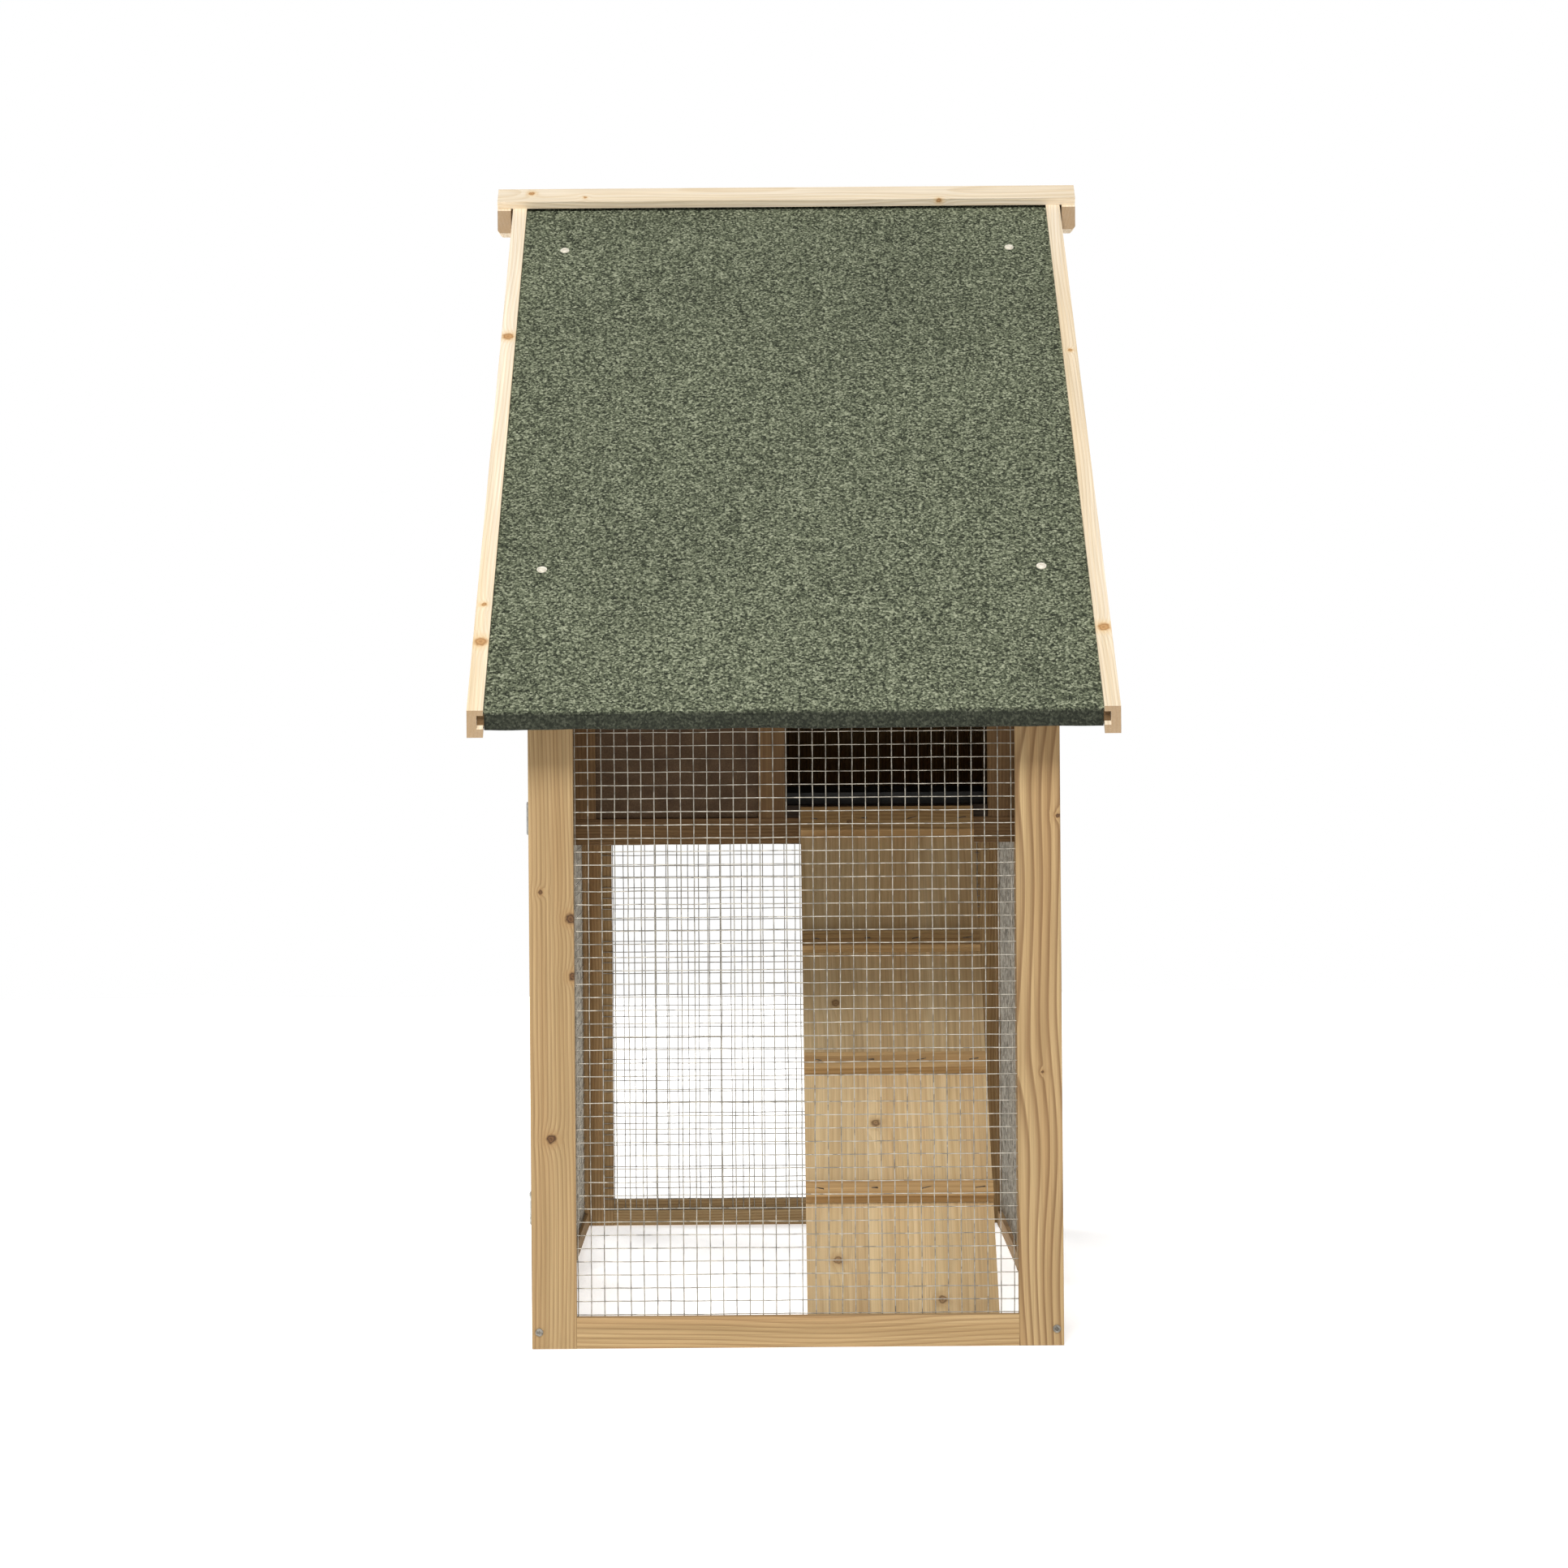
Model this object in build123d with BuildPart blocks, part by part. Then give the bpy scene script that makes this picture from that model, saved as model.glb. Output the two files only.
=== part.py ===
from build123d import *
from math import cos, radians, sin, tan
import os

os.makedirs("parts", exist_ok=True)

# A rabbit hutch on two floors, in millimetres.
# X runs across it, the run end faces -Y, the doors face -X, and the ground is z = 0.
# The origin is on the ground under the middle of the roof.

# Overall sizes
body_length = 882.0
body_width = 510.0
run_length = 477.0  # run end's outer face to the house wall
run_end_height = 634.0  # ground to the roof board at the run end
ridge_setback = 692.0  # run end's outer face to the ridge
roof_pitch = 38.0
eave_overhang = 50.0
floor_height = 493.0  # ground to the underside of the house floor

# Frame sticks
stick = 14.0  # thickness of every stick
stile_width = 43.0
post_width = 40.0
mid_post_width = 42.0
mid_post_lead = 14.0  # part of the middle post that stands in front of the house wall
rail = 30.0
floor_rail = 28.0
edge_round = 0.8
rebate_width = 12.0
rebate_depth = 5.0
mesh_thickness = 0.8
mesh_play = 0.5

# Boards
cladding = 10.0
cladding_inset = 2.0
board_width = 72.0
groove = 3.0

# Doors, their hinges and latches
door_gap = 3.0
door_stick = 30.0
door_board = 11.0
ledge = 12.0
ledge_width = 35.0
ledge_inset = 12.0
run_door_drop = 32.0  # roof height at the run end above the run door
gable_margin = 27.5  # least height of the gable boards above the house door
tray_front_lift = 1.5
hinge_inset = 80.0  # from a door's top and bottom to its hinges
leaf = 1.0
leaf_width = 15.0
leaf_height = 30.0
leaf_clearance = 3.0
knuckle = 10.0
knuckle_play = 0.2
knuckle_radius = 2.5
pin_radius = 1.3
pin_play = 0.05
pin_head = 2.1
pin_head_height = 1.0
latch_play = 0.3
bolt_radius = 3.0
bolt_length = 32.0
bolt_travel = 18.0
bolt_margin = 2.0
bolt_offset = 5.4  # bolt's axis in front of the door
latch_height = 28.0
latch_plate = 1.2
latch_depth = 9.6
barrel_height = 11.0
keeper_gap = 8.0
keeper_width = 10.0
stem_radius = 2.0
stem_reach = 16.0
knob_radius = 4.0
knob_length = 4.0
stem_setback = 25.0

# House wall, floor and tray
wall_stile = 29.0
divider_width = 29.0
doorway_width = 219.0
doorway_height = 254.0
lintel = 30.0
wall_board = 8.0
floor_board = 13.0
floor_play = 0.5
runner = 20.0
tray_height = 12.5
tray_wall = 1.5
tray_play = 0.4
tray_side_play = 5.0
tray_back_gap = 18.0
tray_front_height = 35.5

# Ramp
ramp_width = 186.0
ramp_board_thickness = 10.0
ramp_sill_lift = 4.0  # ramp's top edge above the wall rail
ramp_foot_gap = 1.7
cleat_width = 20.0
cleat = 12.0
first_cleat = 165.0
cleat_count = 3
top_cleat_width = 34.0

# Roof
roof_board = 8.0
felt = 1.6
side_overhang = 54.5
trim_width = 15.5
trim_lip = 4.0
trim_base = 6.3
slot_depth = 6.2
slot_play = 0.2
felt_lip = 16.0
felt_fold = 22.0
lip_play = 1.0
ridge_overhang = 17.5
ridge_width = 28.0
ridge_thickness = 9.0
end_block = 15.0
end_block_width = 40.0
end_block_drop = 41.0
end_block_chamfer = 3.0

# Screws
screw_head = 3.8
screw_head_height = 1.2
screw_shank = 1.7
screw_length = 12.0
screw_inset = 7.0
screw_low = 16.0
washer_radius = 5.0
washer = 0.8
recess_length = 3.8
recess_width = 0.8
recess_depth = 0.7
ridge_screws = (95.0, 70.0)  # distances down the long and the short slope from the ridge
run_screw_rise = 178.16  # up the slope from the run end to its roof screws
house_screw_inset = 18.4  # from the house end post's outer face to its roof screws

# Lines that several pieces share
x_side = body_width / 2
x_inner = x_side - stick
x_opening = x_side - stile_width
y_run_end = -body_length / 2
y_house_end = body_length / 2
y_wall = y_run_end + run_length
y_ridge = y_run_end + ridge_setback
y_run_eave = y_run_end - eave_overhang
y_house_eave = y_house_end + eave_overhang
slope = tan(radians(roof_pitch))
plumb = 1 / cos(radians(roof_pitch))
roof_stack = roof_board + felt
trim_top = roof_stack + slot_play + trim_lip
ridge_underside = run_end_height + ridge_setback * slope
run_post = (y_run_end + stick, y_run_end + stick + post_width)
mid_post = (y_wall - mid_post_lead, y_wall - mid_post_lead + mid_post_width)
house_post = (y_house_end - stick - post_width, y_house_end - stick)
run_bay = (run_post[1], mid_post[0])
house_bay = (mid_post[1], house_post[0])
floor_rail_low = floor_height - floor_rail
floor_top = floor_height + floor_board
tray_front_top = floor_height + tray_front_lift + tray_front_height
house_door_low = tray_front_top + door_gap
x_hinge = -x_side - knuckle_radius - 0.1
run_hinge_y = run_bay[0] + door_gap / 2
house_hinge_y = house_bay[1] - door_gap / 2
run_door_top = run_end_height - run_door_drop
run_door_low = rail + door_gap
roof_half_width = x_side + side_overhang
ridge_length = 2 * (roof_half_width + ridge_overhang)
long_slope_screws = (ridge_screws[0], ridge_setback * plumb - run_screw_rise)
short_slope_screws = (ridge_screws[1], (house_post[1] - house_screw_inset - y_ridge) * plumb)
doorway_right = x_inner - wall_stile
doorway_left = doorway_right - doorway_width
divider_left = doorway_left - divider_width
ramp_left = (doorway_left + doorway_right - ramp_width) / 2
ramp_sill = floor_height + ramp_sill_lift
tray_depth = 2 * x_inner - tray_back_gap
vertical_axis = Axis.Z
across = Axis.X
along = Axis.Y
above = (Align.CENTER, Align.CENTER, Align.MIN)  # a cylinder that stands on its spot
below = (Align.CENTER, Align.CENTER, Align.MAX)  # a cylinder sunk from its spot


def roof_line(y, height=0.0):
    """Height above ground of a line parallel to the roof, at a distance square to it."""
    return ridge_underside - abs(y - y_ridge) * slope + height * plumb


# The house door ends below the roof. Hinges and latches follow their doors.
gable_low = min(roof_line(house_bay[0], -rail), roof_line(house_bay[1], -rail)) - gable_margin
house_door_top = gable_low - rail - door_gap
run_hinge_heights = (run_door_low + hinge_inset, run_door_top - hinge_inset - leaf_height)
house_hinge_heights = (house_door_low + hinge_inset, house_door_top - hinge_inset - leaf_height)
run_latch_height = (run_door_low + run_door_top) / 2
house_latch_height = (house_door_low + house_door_top) / 2
# A latch is its door's edge, the way the bolt shoots, and its height
run_latch = (run_bay[1] - door_gap, 1, run_latch_height)
house_latch = (house_bay[0] + door_gap, -1, house_latch_height)


def span(a, b):
    return (min(a, b), max(a, b))


def grow(interval, amount):
    return (interval[0] - amount, interval[1] + amount)


def panel_outline(y_span, z_low, drop=0.0):
    """A piece that stands under the roof and follows it at the top."""
    low, high = y_span
    points = [(low, z_low), (high, z_low), (high, roof_line(high, -drop))]
    if low < y_ridge < high:
        points.append((y_ridge, roof_line(y_ridge, -drop)))
    points.append((low, roof_line(low, -drop)))
    return points


def band_outline(y_span, low, high):
    """A slab that lies along one slope, with plumb ends."""
    near, far = y_span
    return [
        (near, roof_line(near, low)),
        (far, roof_line(far, low)),
        (far, roof_line(far, high)),
        (near, roof_line(near, high)),
    ]


def block(x_span, y_span, z_span, mode=Mode.ADD):
    """A box between two corners."""
    spans = (x_span, y_span, z_span)
    with Locations(tuple((s[0] + s[1]) / 2 for s in spans)):
        Box(*(abs(s[1] - s[0]) for s in spans), mode=mode)


def slab(points, x_span, mode=Mode.ADD):
    """An outline in the YZ plane, extruded across x_span."""
    with BuildSketch(Plane.YZ.offset(x_span[0])) as outline:
        with BuildLine():
            Polyline(*points, close=True)
        make_face()
    extrude(outline.sketch, amount=x_span[1] - x_span[0], mode=mode)


def post(x_span, y_span, z_low=0.0):
    slab(panel_outline(y_span, z_low), x_span)


def grooves(centres, size, mode=Mode.SUBTRACT):
    """V grooves between boards: upright square bars turned by 45 degrees."""
    with Locations(*centres):
        Box(groove, groove, size, rotation=(0, 0, 45), mode=mode)


def save(made, name):
    made.part.label = name
    export_step(made.part, f"parts/{name}.step")


def screw_spots_run_end():
    heights = (screw_low, run_end_height - screw_low)
    xs = (-x_side + screw_inset, x_side - screw_inset)
    return [Location((x, y_run_end, z), (90, 0, 0)) for x in xs for z in heights]


def screw_spots_house_end():
    heights = (screw_low, floor_height - floor_rail / 2, roof_line(y_house_end) - screw_low)
    xs = (-x_side + screw_inset, x_side - screw_inset)
    return [Location((x, y_house_end, z), (-90, 0, 0)) for x in xs for z in heights]


def roof_plane(direction):
    """Plane on the roof boards' underside at the ridge. direction is -1 for the long slope."""
    lean = radians(roof_pitch)
    return Plane(
        origin=(0, y_ridge, ridge_underside),
        x_dir=(1, 0, 0),
        z_dir=(0, direction * sin(lean), cos(lean)),
    )


def roof_screw_spots(direction, distances):
    plane = roof_plane(direction)
    xs = (-x_side + screw_inset, x_side - screw_inset)
    return [
        plane.location * Location((x, direction * d, roof_stack)) for x in xs for d in distances
    ]


def all_roof_screw_spots():
    return roof_screw_spots(-1, long_slope_screws) + roof_screw_spots(1, short_slope_screws)


def screw_holes(spots, depth):
    with Locations(*spots):
        Cylinder(screw_shank, depth, align=below, mode=Mode.SUBTRACT)


def is_rim(edge, spots):
    """Whether an edge is the outer rim of a screw head on one of the spots."""
    tips = [(spot * Location((0, 0, screw_head_height))).position for spot in spots]
    return edge.is_closed and min((edge.arc_center - tip).length for tip in tips) < 0.01


def screws(made, spots, length):
    """Cross-head screws with their heads on the surface."""
    with Locations(*spots):
        Cylinder(screw_head, screw_head_height, align=above)
    chamfer([edge for edge in made.edges() if is_rim(edge, spots)], recess_width / 2)
    with Locations(*[spot * Location((0, 0, screw_head_height)) for spot in spots]):
        Box(recess_length, recess_width, 2 * recess_depth, mode=Mode.SUBTRACT)
        Box(recess_width, recess_length, 2 * recess_depth, mode=Mode.SUBTRACT)
    with Locations(*spots):
        Cylinder(screw_shank, length, align=below)


# Run end panel
def make_run_end():
    depth = (y_run_end, y_run_end + stick)
    inside = (y_run_end + stick - rebate_depth, y_run_end + stick)
    window = (rail, run_end_height - rail)
    rebate_z = grow(window, rebate_width)
    for name, way in (("run_end_stile_left", -1), ("run_end_stile_right", 1)):
        with BuildPart() as stile:
            post(span(way * x_opening, way * x_side), depth)
            fillet(stile.edges().filter_by(vertical_axis), edge_round)
            rebate = span(way * x_opening, way * (x_opening + rebate_width))
            block(rebate, inside, rebate_z, Mode.SUBTRACT)
            screw_holes([s for s in screw_spots_run_end() if s.position.X * way > 0], screw_length)
        save(stile, name)
    width = (-x_opening, x_opening)
    with BuildPart() as bottom:
        block(width, depth, (0, rail))
        fillet(bottom.edges().filter_by(across), edge_round)
        block(width, inside, (rail - rebate_width, rail), Mode.SUBTRACT)
    save(bottom, "run_end_bottom_rail")
    with BuildPart() as top:
        slab(panel_outline(depth, window[1]), width)
        block(width, inside, (window[1], window[1] + rebate_width), Mode.SUBTRACT)
    save(top, "run_end_top_rail")
    reach = rebate_width - mesh_play
    with BuildPart() as mesh:
        block(grow(width, reach), (inside[0], inside[0] + mesh_thickness), grow(window, reach))
    save(mesh, "run_end_mesh")


# House end panel
def make_house_end():
    depth = (y_house_end - stick, y_house_end)
    inside = (depth[0], depth[0] + rebate_depth)
    window = (rail, floor_rail_low)
    rebate_z = grow(window, rebate_width)
    width = (-x_opening, x_opening)
    top_low = roof_line(y_house_end) - rail
    with BuildPart() as stiles:
        for way in (-1, 1):
            post(span(way * x_opening, way * x_side), depth)
        fillet(stiles.edges().filter_by(vertical_axis), edge_round)
        for way in (-1, 1):
            rebate = span(way * x_opening, way * (x_opening + rebate_width))
            block(rebate, inside, rebate_z, Mode.SUBTRACT)
        screw_holes(screw_spots_house_end(), screw_length)
    save(stiles, "house_end_stiles")
    with BuildPart() as rails:
        block(width, depth, (0, rail))
        block(width, depth, (floor_rail_low, floor_height))
        fillet(rails.edges().filter_by(across), edge_round)
        slab(panel_outline(depth, top_low), width)
        block(width, inside, (rail - rebate_width, rail), Mode.SUBTRACT)
        block(width, inside, (floor_rail_low, floor_rail_low + rebate_width), Mode.SUBTRACT)
    save(rails, "house_end_rails")
    reach = rebate_width - mesh_play
    with BuildPart() as mesh:
        sheet = (inside[1] - mesh_thickness, inside[1])
        block(grow(width, reach), sheet, grow(window, reach))
    save(mesh, "house_end_mesh")
    with BuildPart() as boards:
        face = y_house_end - cladding_inset
        block(width, (face - cladding, face), (floor_height, top_low))
        grooves(board_joints_across(face, (floor_height + top_low) / 2), 2 * top_low)
    save(boards, "house_end_boards")


def board_joints_across(y, z):
    count = int(2 * x_opening / board_width)
    pitch = 2 * x_opening / count
    return [(-x_opening + pitch * i, y, z) for i in range(1, count)]


def board_joints_along(x, y_span, z):
    length = y_span[1] - y_span[0]
    count = max(2, round(length / board_width))
    pitch = length / count
    return [(x, y_span[0] + pitch * i, z) for i in range(1, count)]


# Side panels. way is 1 for the plain side and -1 for the side with the doors.
def side_rebate(way):
    return span(way * x_inner, way * (x_inner + rebate_depth))


def side_mesh_span(way):
    floor = way * (x_inner + rebate_depth)
    return span(floor, floor - way * mesh_thickness)


def make_posts(way, name, has_run_mesh):
    x_span = span(way * x_inner, way * x_side)
    with BuildPart() as posts:
        for y_span in (run_post, mid_post, house_post):
            post(x_span, y_span)
        fillet(posts.edges().filter_by(vertical_axis), edge_round)
        low = (rail - rebate_width, floor_rail_low + rebate_width)
        block(side_rebate(way), (mid_post[1] - rebate_width, mid_post[1]), low, Mode.SUBTRACT)
        block(side_rebate(way), (house_post[0], house_post[0] + rebate_width), low, Mode.SUBTRACT)
        start = rail if has_run_mesh else run_door_top + door_gap + rail
        for y_span in (
            (run_post[1] - rebate_width, run_post[1]),
            (mid_post[0], mid_post[0] + rebate_width),
        ):
            cut = panel_outline(y_span, start - rebate_width, rail - rebate_width)
            slab(cut, side_rebate(way), Mode.SUBTRACT)
    save(posts, name)


def make_rake_rails(way, name):
    x_span = span(way * x_inner, way * x_side)
    with BuildPart() as rails:
        slab(band_outline(run_bay, -rail, 0), x_span)
        slab(band_outline((house_bay[0], y_ridge - mesh_play), -rail, 0), x_span)
        slab(band_outline((y_ridge + mesh_play, house_bay[1]), -rail, 0), x_span)
        slab(band_outline(run_bay, -rail, rebate_width - rail), side_rebate(way), Mode.SUBTRACT)
    save(rails, name)


def make_lower_mesh(way, name):
    reach = rebate_width - mesh_play
    with BuildPart() as mesh:
        z_span = grow((rail, floor_rail_low), reach)
        block(side_mesh_span(way), grow(house_bay, reach), z_span)
    save(mesh, name)


def make_run_mesh(way, z_low, name):
    reach = rebate_width - mesh_play
    with BuildPart() as mesh:
        outline = panel_outline(grow(run_bay, reach), z_low - reach, rail - reach)
        slab(outline, side_mesh_span(way))
    save(mesh, name)


def side_bottom_rails(x_span):
    block(x_span, run_bay, (0, rail))
    block(x_span, house_bay, (0, rail))
    block(x_span, house_bay, (floor_rail_low, floor_height))


def side_rail_rebates(way):
    top = (rail - rebate_width, rail)
    block(side_rebate(way), house_bay, top, Mode.SUBTRACT)
    floor_cut = (floor_rail_low, floor_rail_low + rebate_width)
    block(side_rebate(way), house_bay, floor_cut, Mode.SUBTRACT)


def make_plain_side():
    x_span = (x_inner, x_side)
    make_posts(1, "plain_side_posts", True)
    make_rake_rails(1, "plain_side_rake_rails")
    make_run_mesh(1, rail, "plain_side_run_mesh")
    make_lower_mesh(1, "plain_side_lower_mesh")
    with BuildPart() as rails:
        side_bottom_rails(x_span)
        fillet(rails.edges().filter_by(along), edge_round)
        side_rail_rebates(1)
        block(side_rebate(1), run_bay, (rail - rebate_width, rail), Mode.SUBTRACT)
    save(rails, "plain_side_rails")
    with BuildPart() as boards:
        face = x_side - cladding_inset
        slab(panel_outline(house_bay, floor_height, rail), (face - cladding, face))
        grooves(board_joints_along(face, house_bay, ridge_underside / 2), 2 * ridge_underside)
    save(boards, "plain_side_boards")


def make_door_side():
    x_span = (-x_side, -x_inner)
    run_head = run_door_top + door_gap
    house_head = house_door_top + door_gap
    make_posts(-1, "door_side_posts", False)
    make_rake_rails(-1, "door_side_rake_rails")
    make_run_mesh(-1, run_head + rail, "door_side_run_mesh")
    make_lower_mesh(-1, "door_side_lower_mesh")
    with BuildPart() as rails:
        side_bottom_rails(x_span)
        block(x_span, run_bay, (run_head, run_head + rail))
        block(x_span, house_bay, (house_head, house_head + rail))
        fillet(rails.edges().filter_by(along), edge_round)
        side_rail_rebates(-1)
        head_cut = (run_head + rail - rebate_width, run_head + rail)
        block(side_rebate(-1), run_bay, head_cut, Mode.SUBTRACT)
    save(rails, "door_side_rails")
    with BuildPart() as boards:
        face = -x_side + cladding_inset
        slab(panel_outline(house_bay, house_head + rail, rail), (face, face + cladding))
        grooves(board_joints_along(face, house_bay, ridge_underside / 2), 2 * ridge_underside)
    save(boards, "door_side_gable_boards")


# Doors
def make_run_door():
    x_span = (-x_side, -x_inner)
    y_span = grow(run_bay, -door_gap)
    z_span = (run_door_low, run_door_top)
    opening_y = grow(y_span, -door_stick)
    opening_z = grow(z_span, -door_stick)
    cut_y = grow(opening_y, rebate_width)
    cut_z = grow(opening_z, rebate_width)
    with BuildPart() as stiles:
        block(x_span, (y_span[0], opening_y[0]), z_span)
        block(x_span, (opening_y[1], y_span[1]), z_span)
        fillet(stiles.edges().filter_by(vertical_axis), edge_round)
        block(side_rebate(-1), cut_y, cut_z, Mode.SUBTRACT)
    save(stiles, "run_door_stiles")
    with BuildPart() as rails:
        block(x_span, opening_y, (z_span[0], opening_z[0]))
        block(x_span, opening_y, (opening_z[1], z_span[1]))
        fillet(rails.edges().filter_by(along), edge_round)
        block(side_rebate(-1), cut_y, cut_z, Mode.SUBTRACT)
    save(rails, "run_door_rails")
    reach = rebate_width - mesh_play
    with BuildPart() as mesh:
        block(side_mesh_span(-1), grow(opening_y, reach), grow(opening_z, reach))
    save(mesh, "run_door_mesh")


def make_house_door():
    y_span = grow(house_bay, -door_gap)
    z_span = (house_door_low, house_door_top)
    back = -x_side + door_board
    with BuildPart() as boards:
        block((-x_side, back), y_span, z_span)
        joints = board_joints_along(-x_side, y_span, house_door_top)
        grooves(joints, 2 * house_door_top)
    save(boards, "house_door_boards")
    with BuildPart() as ledges:
        ledge_y = grow(y_span, -ledge_inset)
        low = z_span[0] + 2 * ledge_inset
        high = z_span[1] - 2 * ledge_inset
        for z_pair in ((low, low + ledge_width), (high - ledge_width, high)):
            block((back, back + ledge), ledge_y, z_pair)
        fillet(ledges.edges().filter_by(along), edge_round)
    save(ledges, "house_door_ledges")


# Butt hinges. toward is the way a leaf lies from the pin, along y.
def hinge_leaf(axis_y, toward, low, knuckles):
    face = (-x_side - leaf, -x_side)
    plate = span(axis_y + toward * leaf_clearance, axis_y + toward * (leaf_clearance + leaf_width))
    block(face, plate, (low, low + leaf_height))
    for bottom, top in knuckles:
        z_span = (low + bottom, low + top)
        block(face, span(axis_y, axis_y + toward * leaf_clearance), z_span)
        with Locations((x_hinge, axis_y, sum(z_span) / 2)):
            Cylinder(knuckle_radius, top - bottom)
    with Locations((x_hinge, axis_y, low + leaf_height / 2)):
        Cylinder(pin_radius + pin_play, 2 * leaf_height, mode=Mode.SUBTRACT)


def make_hinges():
    outer = ((0, knuckle - knuckle_play), (leaf_height - knuckle + knuckle_play, leaf_height))
    inner = ((knuckle, leaf_height - knuckle),)
    with BuildPart() as post_leaves:
        for low in run_hinge_heights:
            hinge_leaf(run_hinge_y, -1, low, outer)
        for low in house_hinge_heights:
            hinge_leaf(house_hinge_y, 1, low, outer)
    save(post_leaves, "hinge_post_leaves")
    with BuildPart() as run_leaves:
        for low in run_hinge_heights:
            hinge_leaf(run_hinge_y, 1, low, inner)
    save(run_leaves, "run_hinge_door_leaves")
    with BuildPart() as house_leaves:
        for low in house_hinge_heights:
            hinge_leaf(house_hinge_y, -1, low, inner)
    save(house_leaves, "house_hinge_door_leaves")
    with BuildPart() as pins:
        spots = [(run_hinge_y, z) for z in run_hinge_heights]
        spots += [(house_hinge_y, z) for z in house_hinge_heights]
        for y, low in spots:
            with Locations((x_hinge, y, low + leaf_height / 2)):
                Cylinder(pin_radius, leaf_height)
            for end in (low - pin_head_height / 2, low + leaf_height + pin_head_height / 2):
                with Locations((x_hinge, y, end)):
                    Cylinder(pin_head, pin_head_height)
    save(pins, "hinge_pins")


# Sliding bolts, drawn back at rest
def latch_body(y_span, height):
    """A plate on the door side with a thicker bar along its middle."""
    middle = (height, height)
    block((-x_side - latch_plate, -x_side), y_span, grow(middle, latch_height / 2))
    block((-x_side - latch_depth, -x_side), y_span, grow(middle, barrel_height / 2))


def make_latch(latch, door):
    edge, way, height = latch
    x_bolt = -x_side - bolt_offset
    y_span = span(edge - way * (bolt_margin + bolt_length), edge - way * bolt_margin)
    middle = sum(y_span) / 2
    stem_y = edge - way * stem_setback
    slot_reach = stem_radius + latch_play
    slot = span(stem_y - way * slot_reach, stem_y + way * (bolt_travel + slot_reach))
    with BuildPart() as barrel:
        latch_body(y_span, height)
        with Locations((x_bolt, middle, height)):
            Cylinder(
                bolt_radius + latch_play, 2 * bolt_length, rotation=(90, 0, 0), mode=Mode.SUBTRACT
            )
        slot_z = (height - slot_reach, height + slot_reach)
        block((-x_side - 2 * latch_depth, x_bolt), slot, slot_z, Mode.SUBTRACT)
    save(barrel, f"{door}_latch_barrel")
    with BuildPart() as bolt:
        with Locations((x_bolt, middle, height)):
            Cylinder(bolt_radius, bolt_length, rotation=(90, 0, 0))
        with Locations((x_bolt, stem_y, height)):
            Cylinder(
                stem_radius,
                stem_reach - bolt_offset,
                rotation=(0, -90, 0),
                align=above,
            )
        with Locations((-x_side - stem_reach, stem_y, height)):
            Cylinder(
                knob_radius,
                knob_length,
                rotation=(0, -90, 0),
                align=above,
            )
    save(bolt, f"{door}_latch_bolt")


def make_keepers():
    x_bolt = -x_side - bolt_offset
    with BuildPart() as keepers:
        for edge, way, height in (run_latch, house_latch):
            y_span = span(edge + way * keeper_gap, edge + way * (keeper_gap + keeper_width))
            latch_body(y_span, height)
            with Locations((x_bolt, sum(y_span) / 2, height)):
                Cylinder(
                    bolt_radius + latch_play,
                    2 * keeper_width,
                    rotation=(90, 0, 0),
                    mode=Mode.SUBTRACT,
                )
    save(keepers, "latch_keepers")


# House wall, between the run and the house
def make_house_wall():
    depth = (y_wall, y_wall + stick)
    boards_y = (y_wall + (stick - wall_board) / 2, y_wall + (stick + wall_board) / 2)
    lintel_low = floor_top + doorway_height
    with BuildPart() as stiles:
        for way in (-1, 1):
            post(span(way * doorway_right, way * x_inner), depth, floor_height)
        fillet(stiles.edges().filter_by(vertical_axis), edge_round)
    save(stiles, "wall_stiles")
    with BuildPart() as divider:
        post((divider_left, doorway_left), depth, floor_height)
        fillet(divider.edges().filter_by(vertical_axis), edge_round)
    save(divider, "wall_divider")
    with BuildPart() as rails:
        block((-x_inner, x_inner), depth, (floor_rail_low, floor_height))
        block((doorway_left, doorway_right), depth, (lintel_low, lintel_low + lintel))
        fillet(rails.edges().filter_by(across), edge_round)
    save(rails, "wall_rails")
    with BuildPart() as panel:
        slab(panel_outline(boards_y, floor_height), (-doorway_right, divider_left))
    save(panel, "wall_panel")
    with BuildPart() as top_panel:
        slab(panel_outline(boards_y, lintel_low + lintel), (doorway_left, doorway_right))
    save(top_panel, "wall_top_panel")


# House floor, its runners and the pull-out tray
def make_floor():
    back = y_house_end - stick
    with BuildPart() as board:
        half = x_inner - floor_play
        block((-half, half), (y_wall + stick, back), (floor_height, floor_top))
        sill = (doorway_left + floor_play, doorway_right - floor_play)
        block(sill, (y_wall, y_wall + stick), (floor_height, floor_top))
    save(board, "house_floor")
    with BuildPart() as runners:
        for way in (-1, 1):
            x_span = span(way * (x_inner - runner), way * x_inner)
            block(x_span, (y_wall + stick, back), (floor_height - runner, floor_height))
    save(runners, "floor_runners")


def make_tray():
    low = floor_top + tray_play
    x_span = (-x_inner, -x_inner + tray_depth)
    y_span = grow(house_bay, -tray_side_play)
    with BuildPart() as pan:
        block(x_span, y_span, (low, low + tray_height))
        hollow_z = (low + tray_wall, low + 2 * tray_height)
        block(grow(x_span, -tray_wall), grow(y_span, -tray_wall), hollow_z, Mode.SUBTRACT)
    save(pan, "tray_pan")
    with BuildPart() as front:
        y_front = grow(house_bay, -door_gap / 2)
        block((-x_side, -x_inner), y_front, (tray_front_top - tray_front_height, tray_front_top))
        fillet(front.edges().filter_by(along), edge_round)
    save(front, "tray_front")


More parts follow.
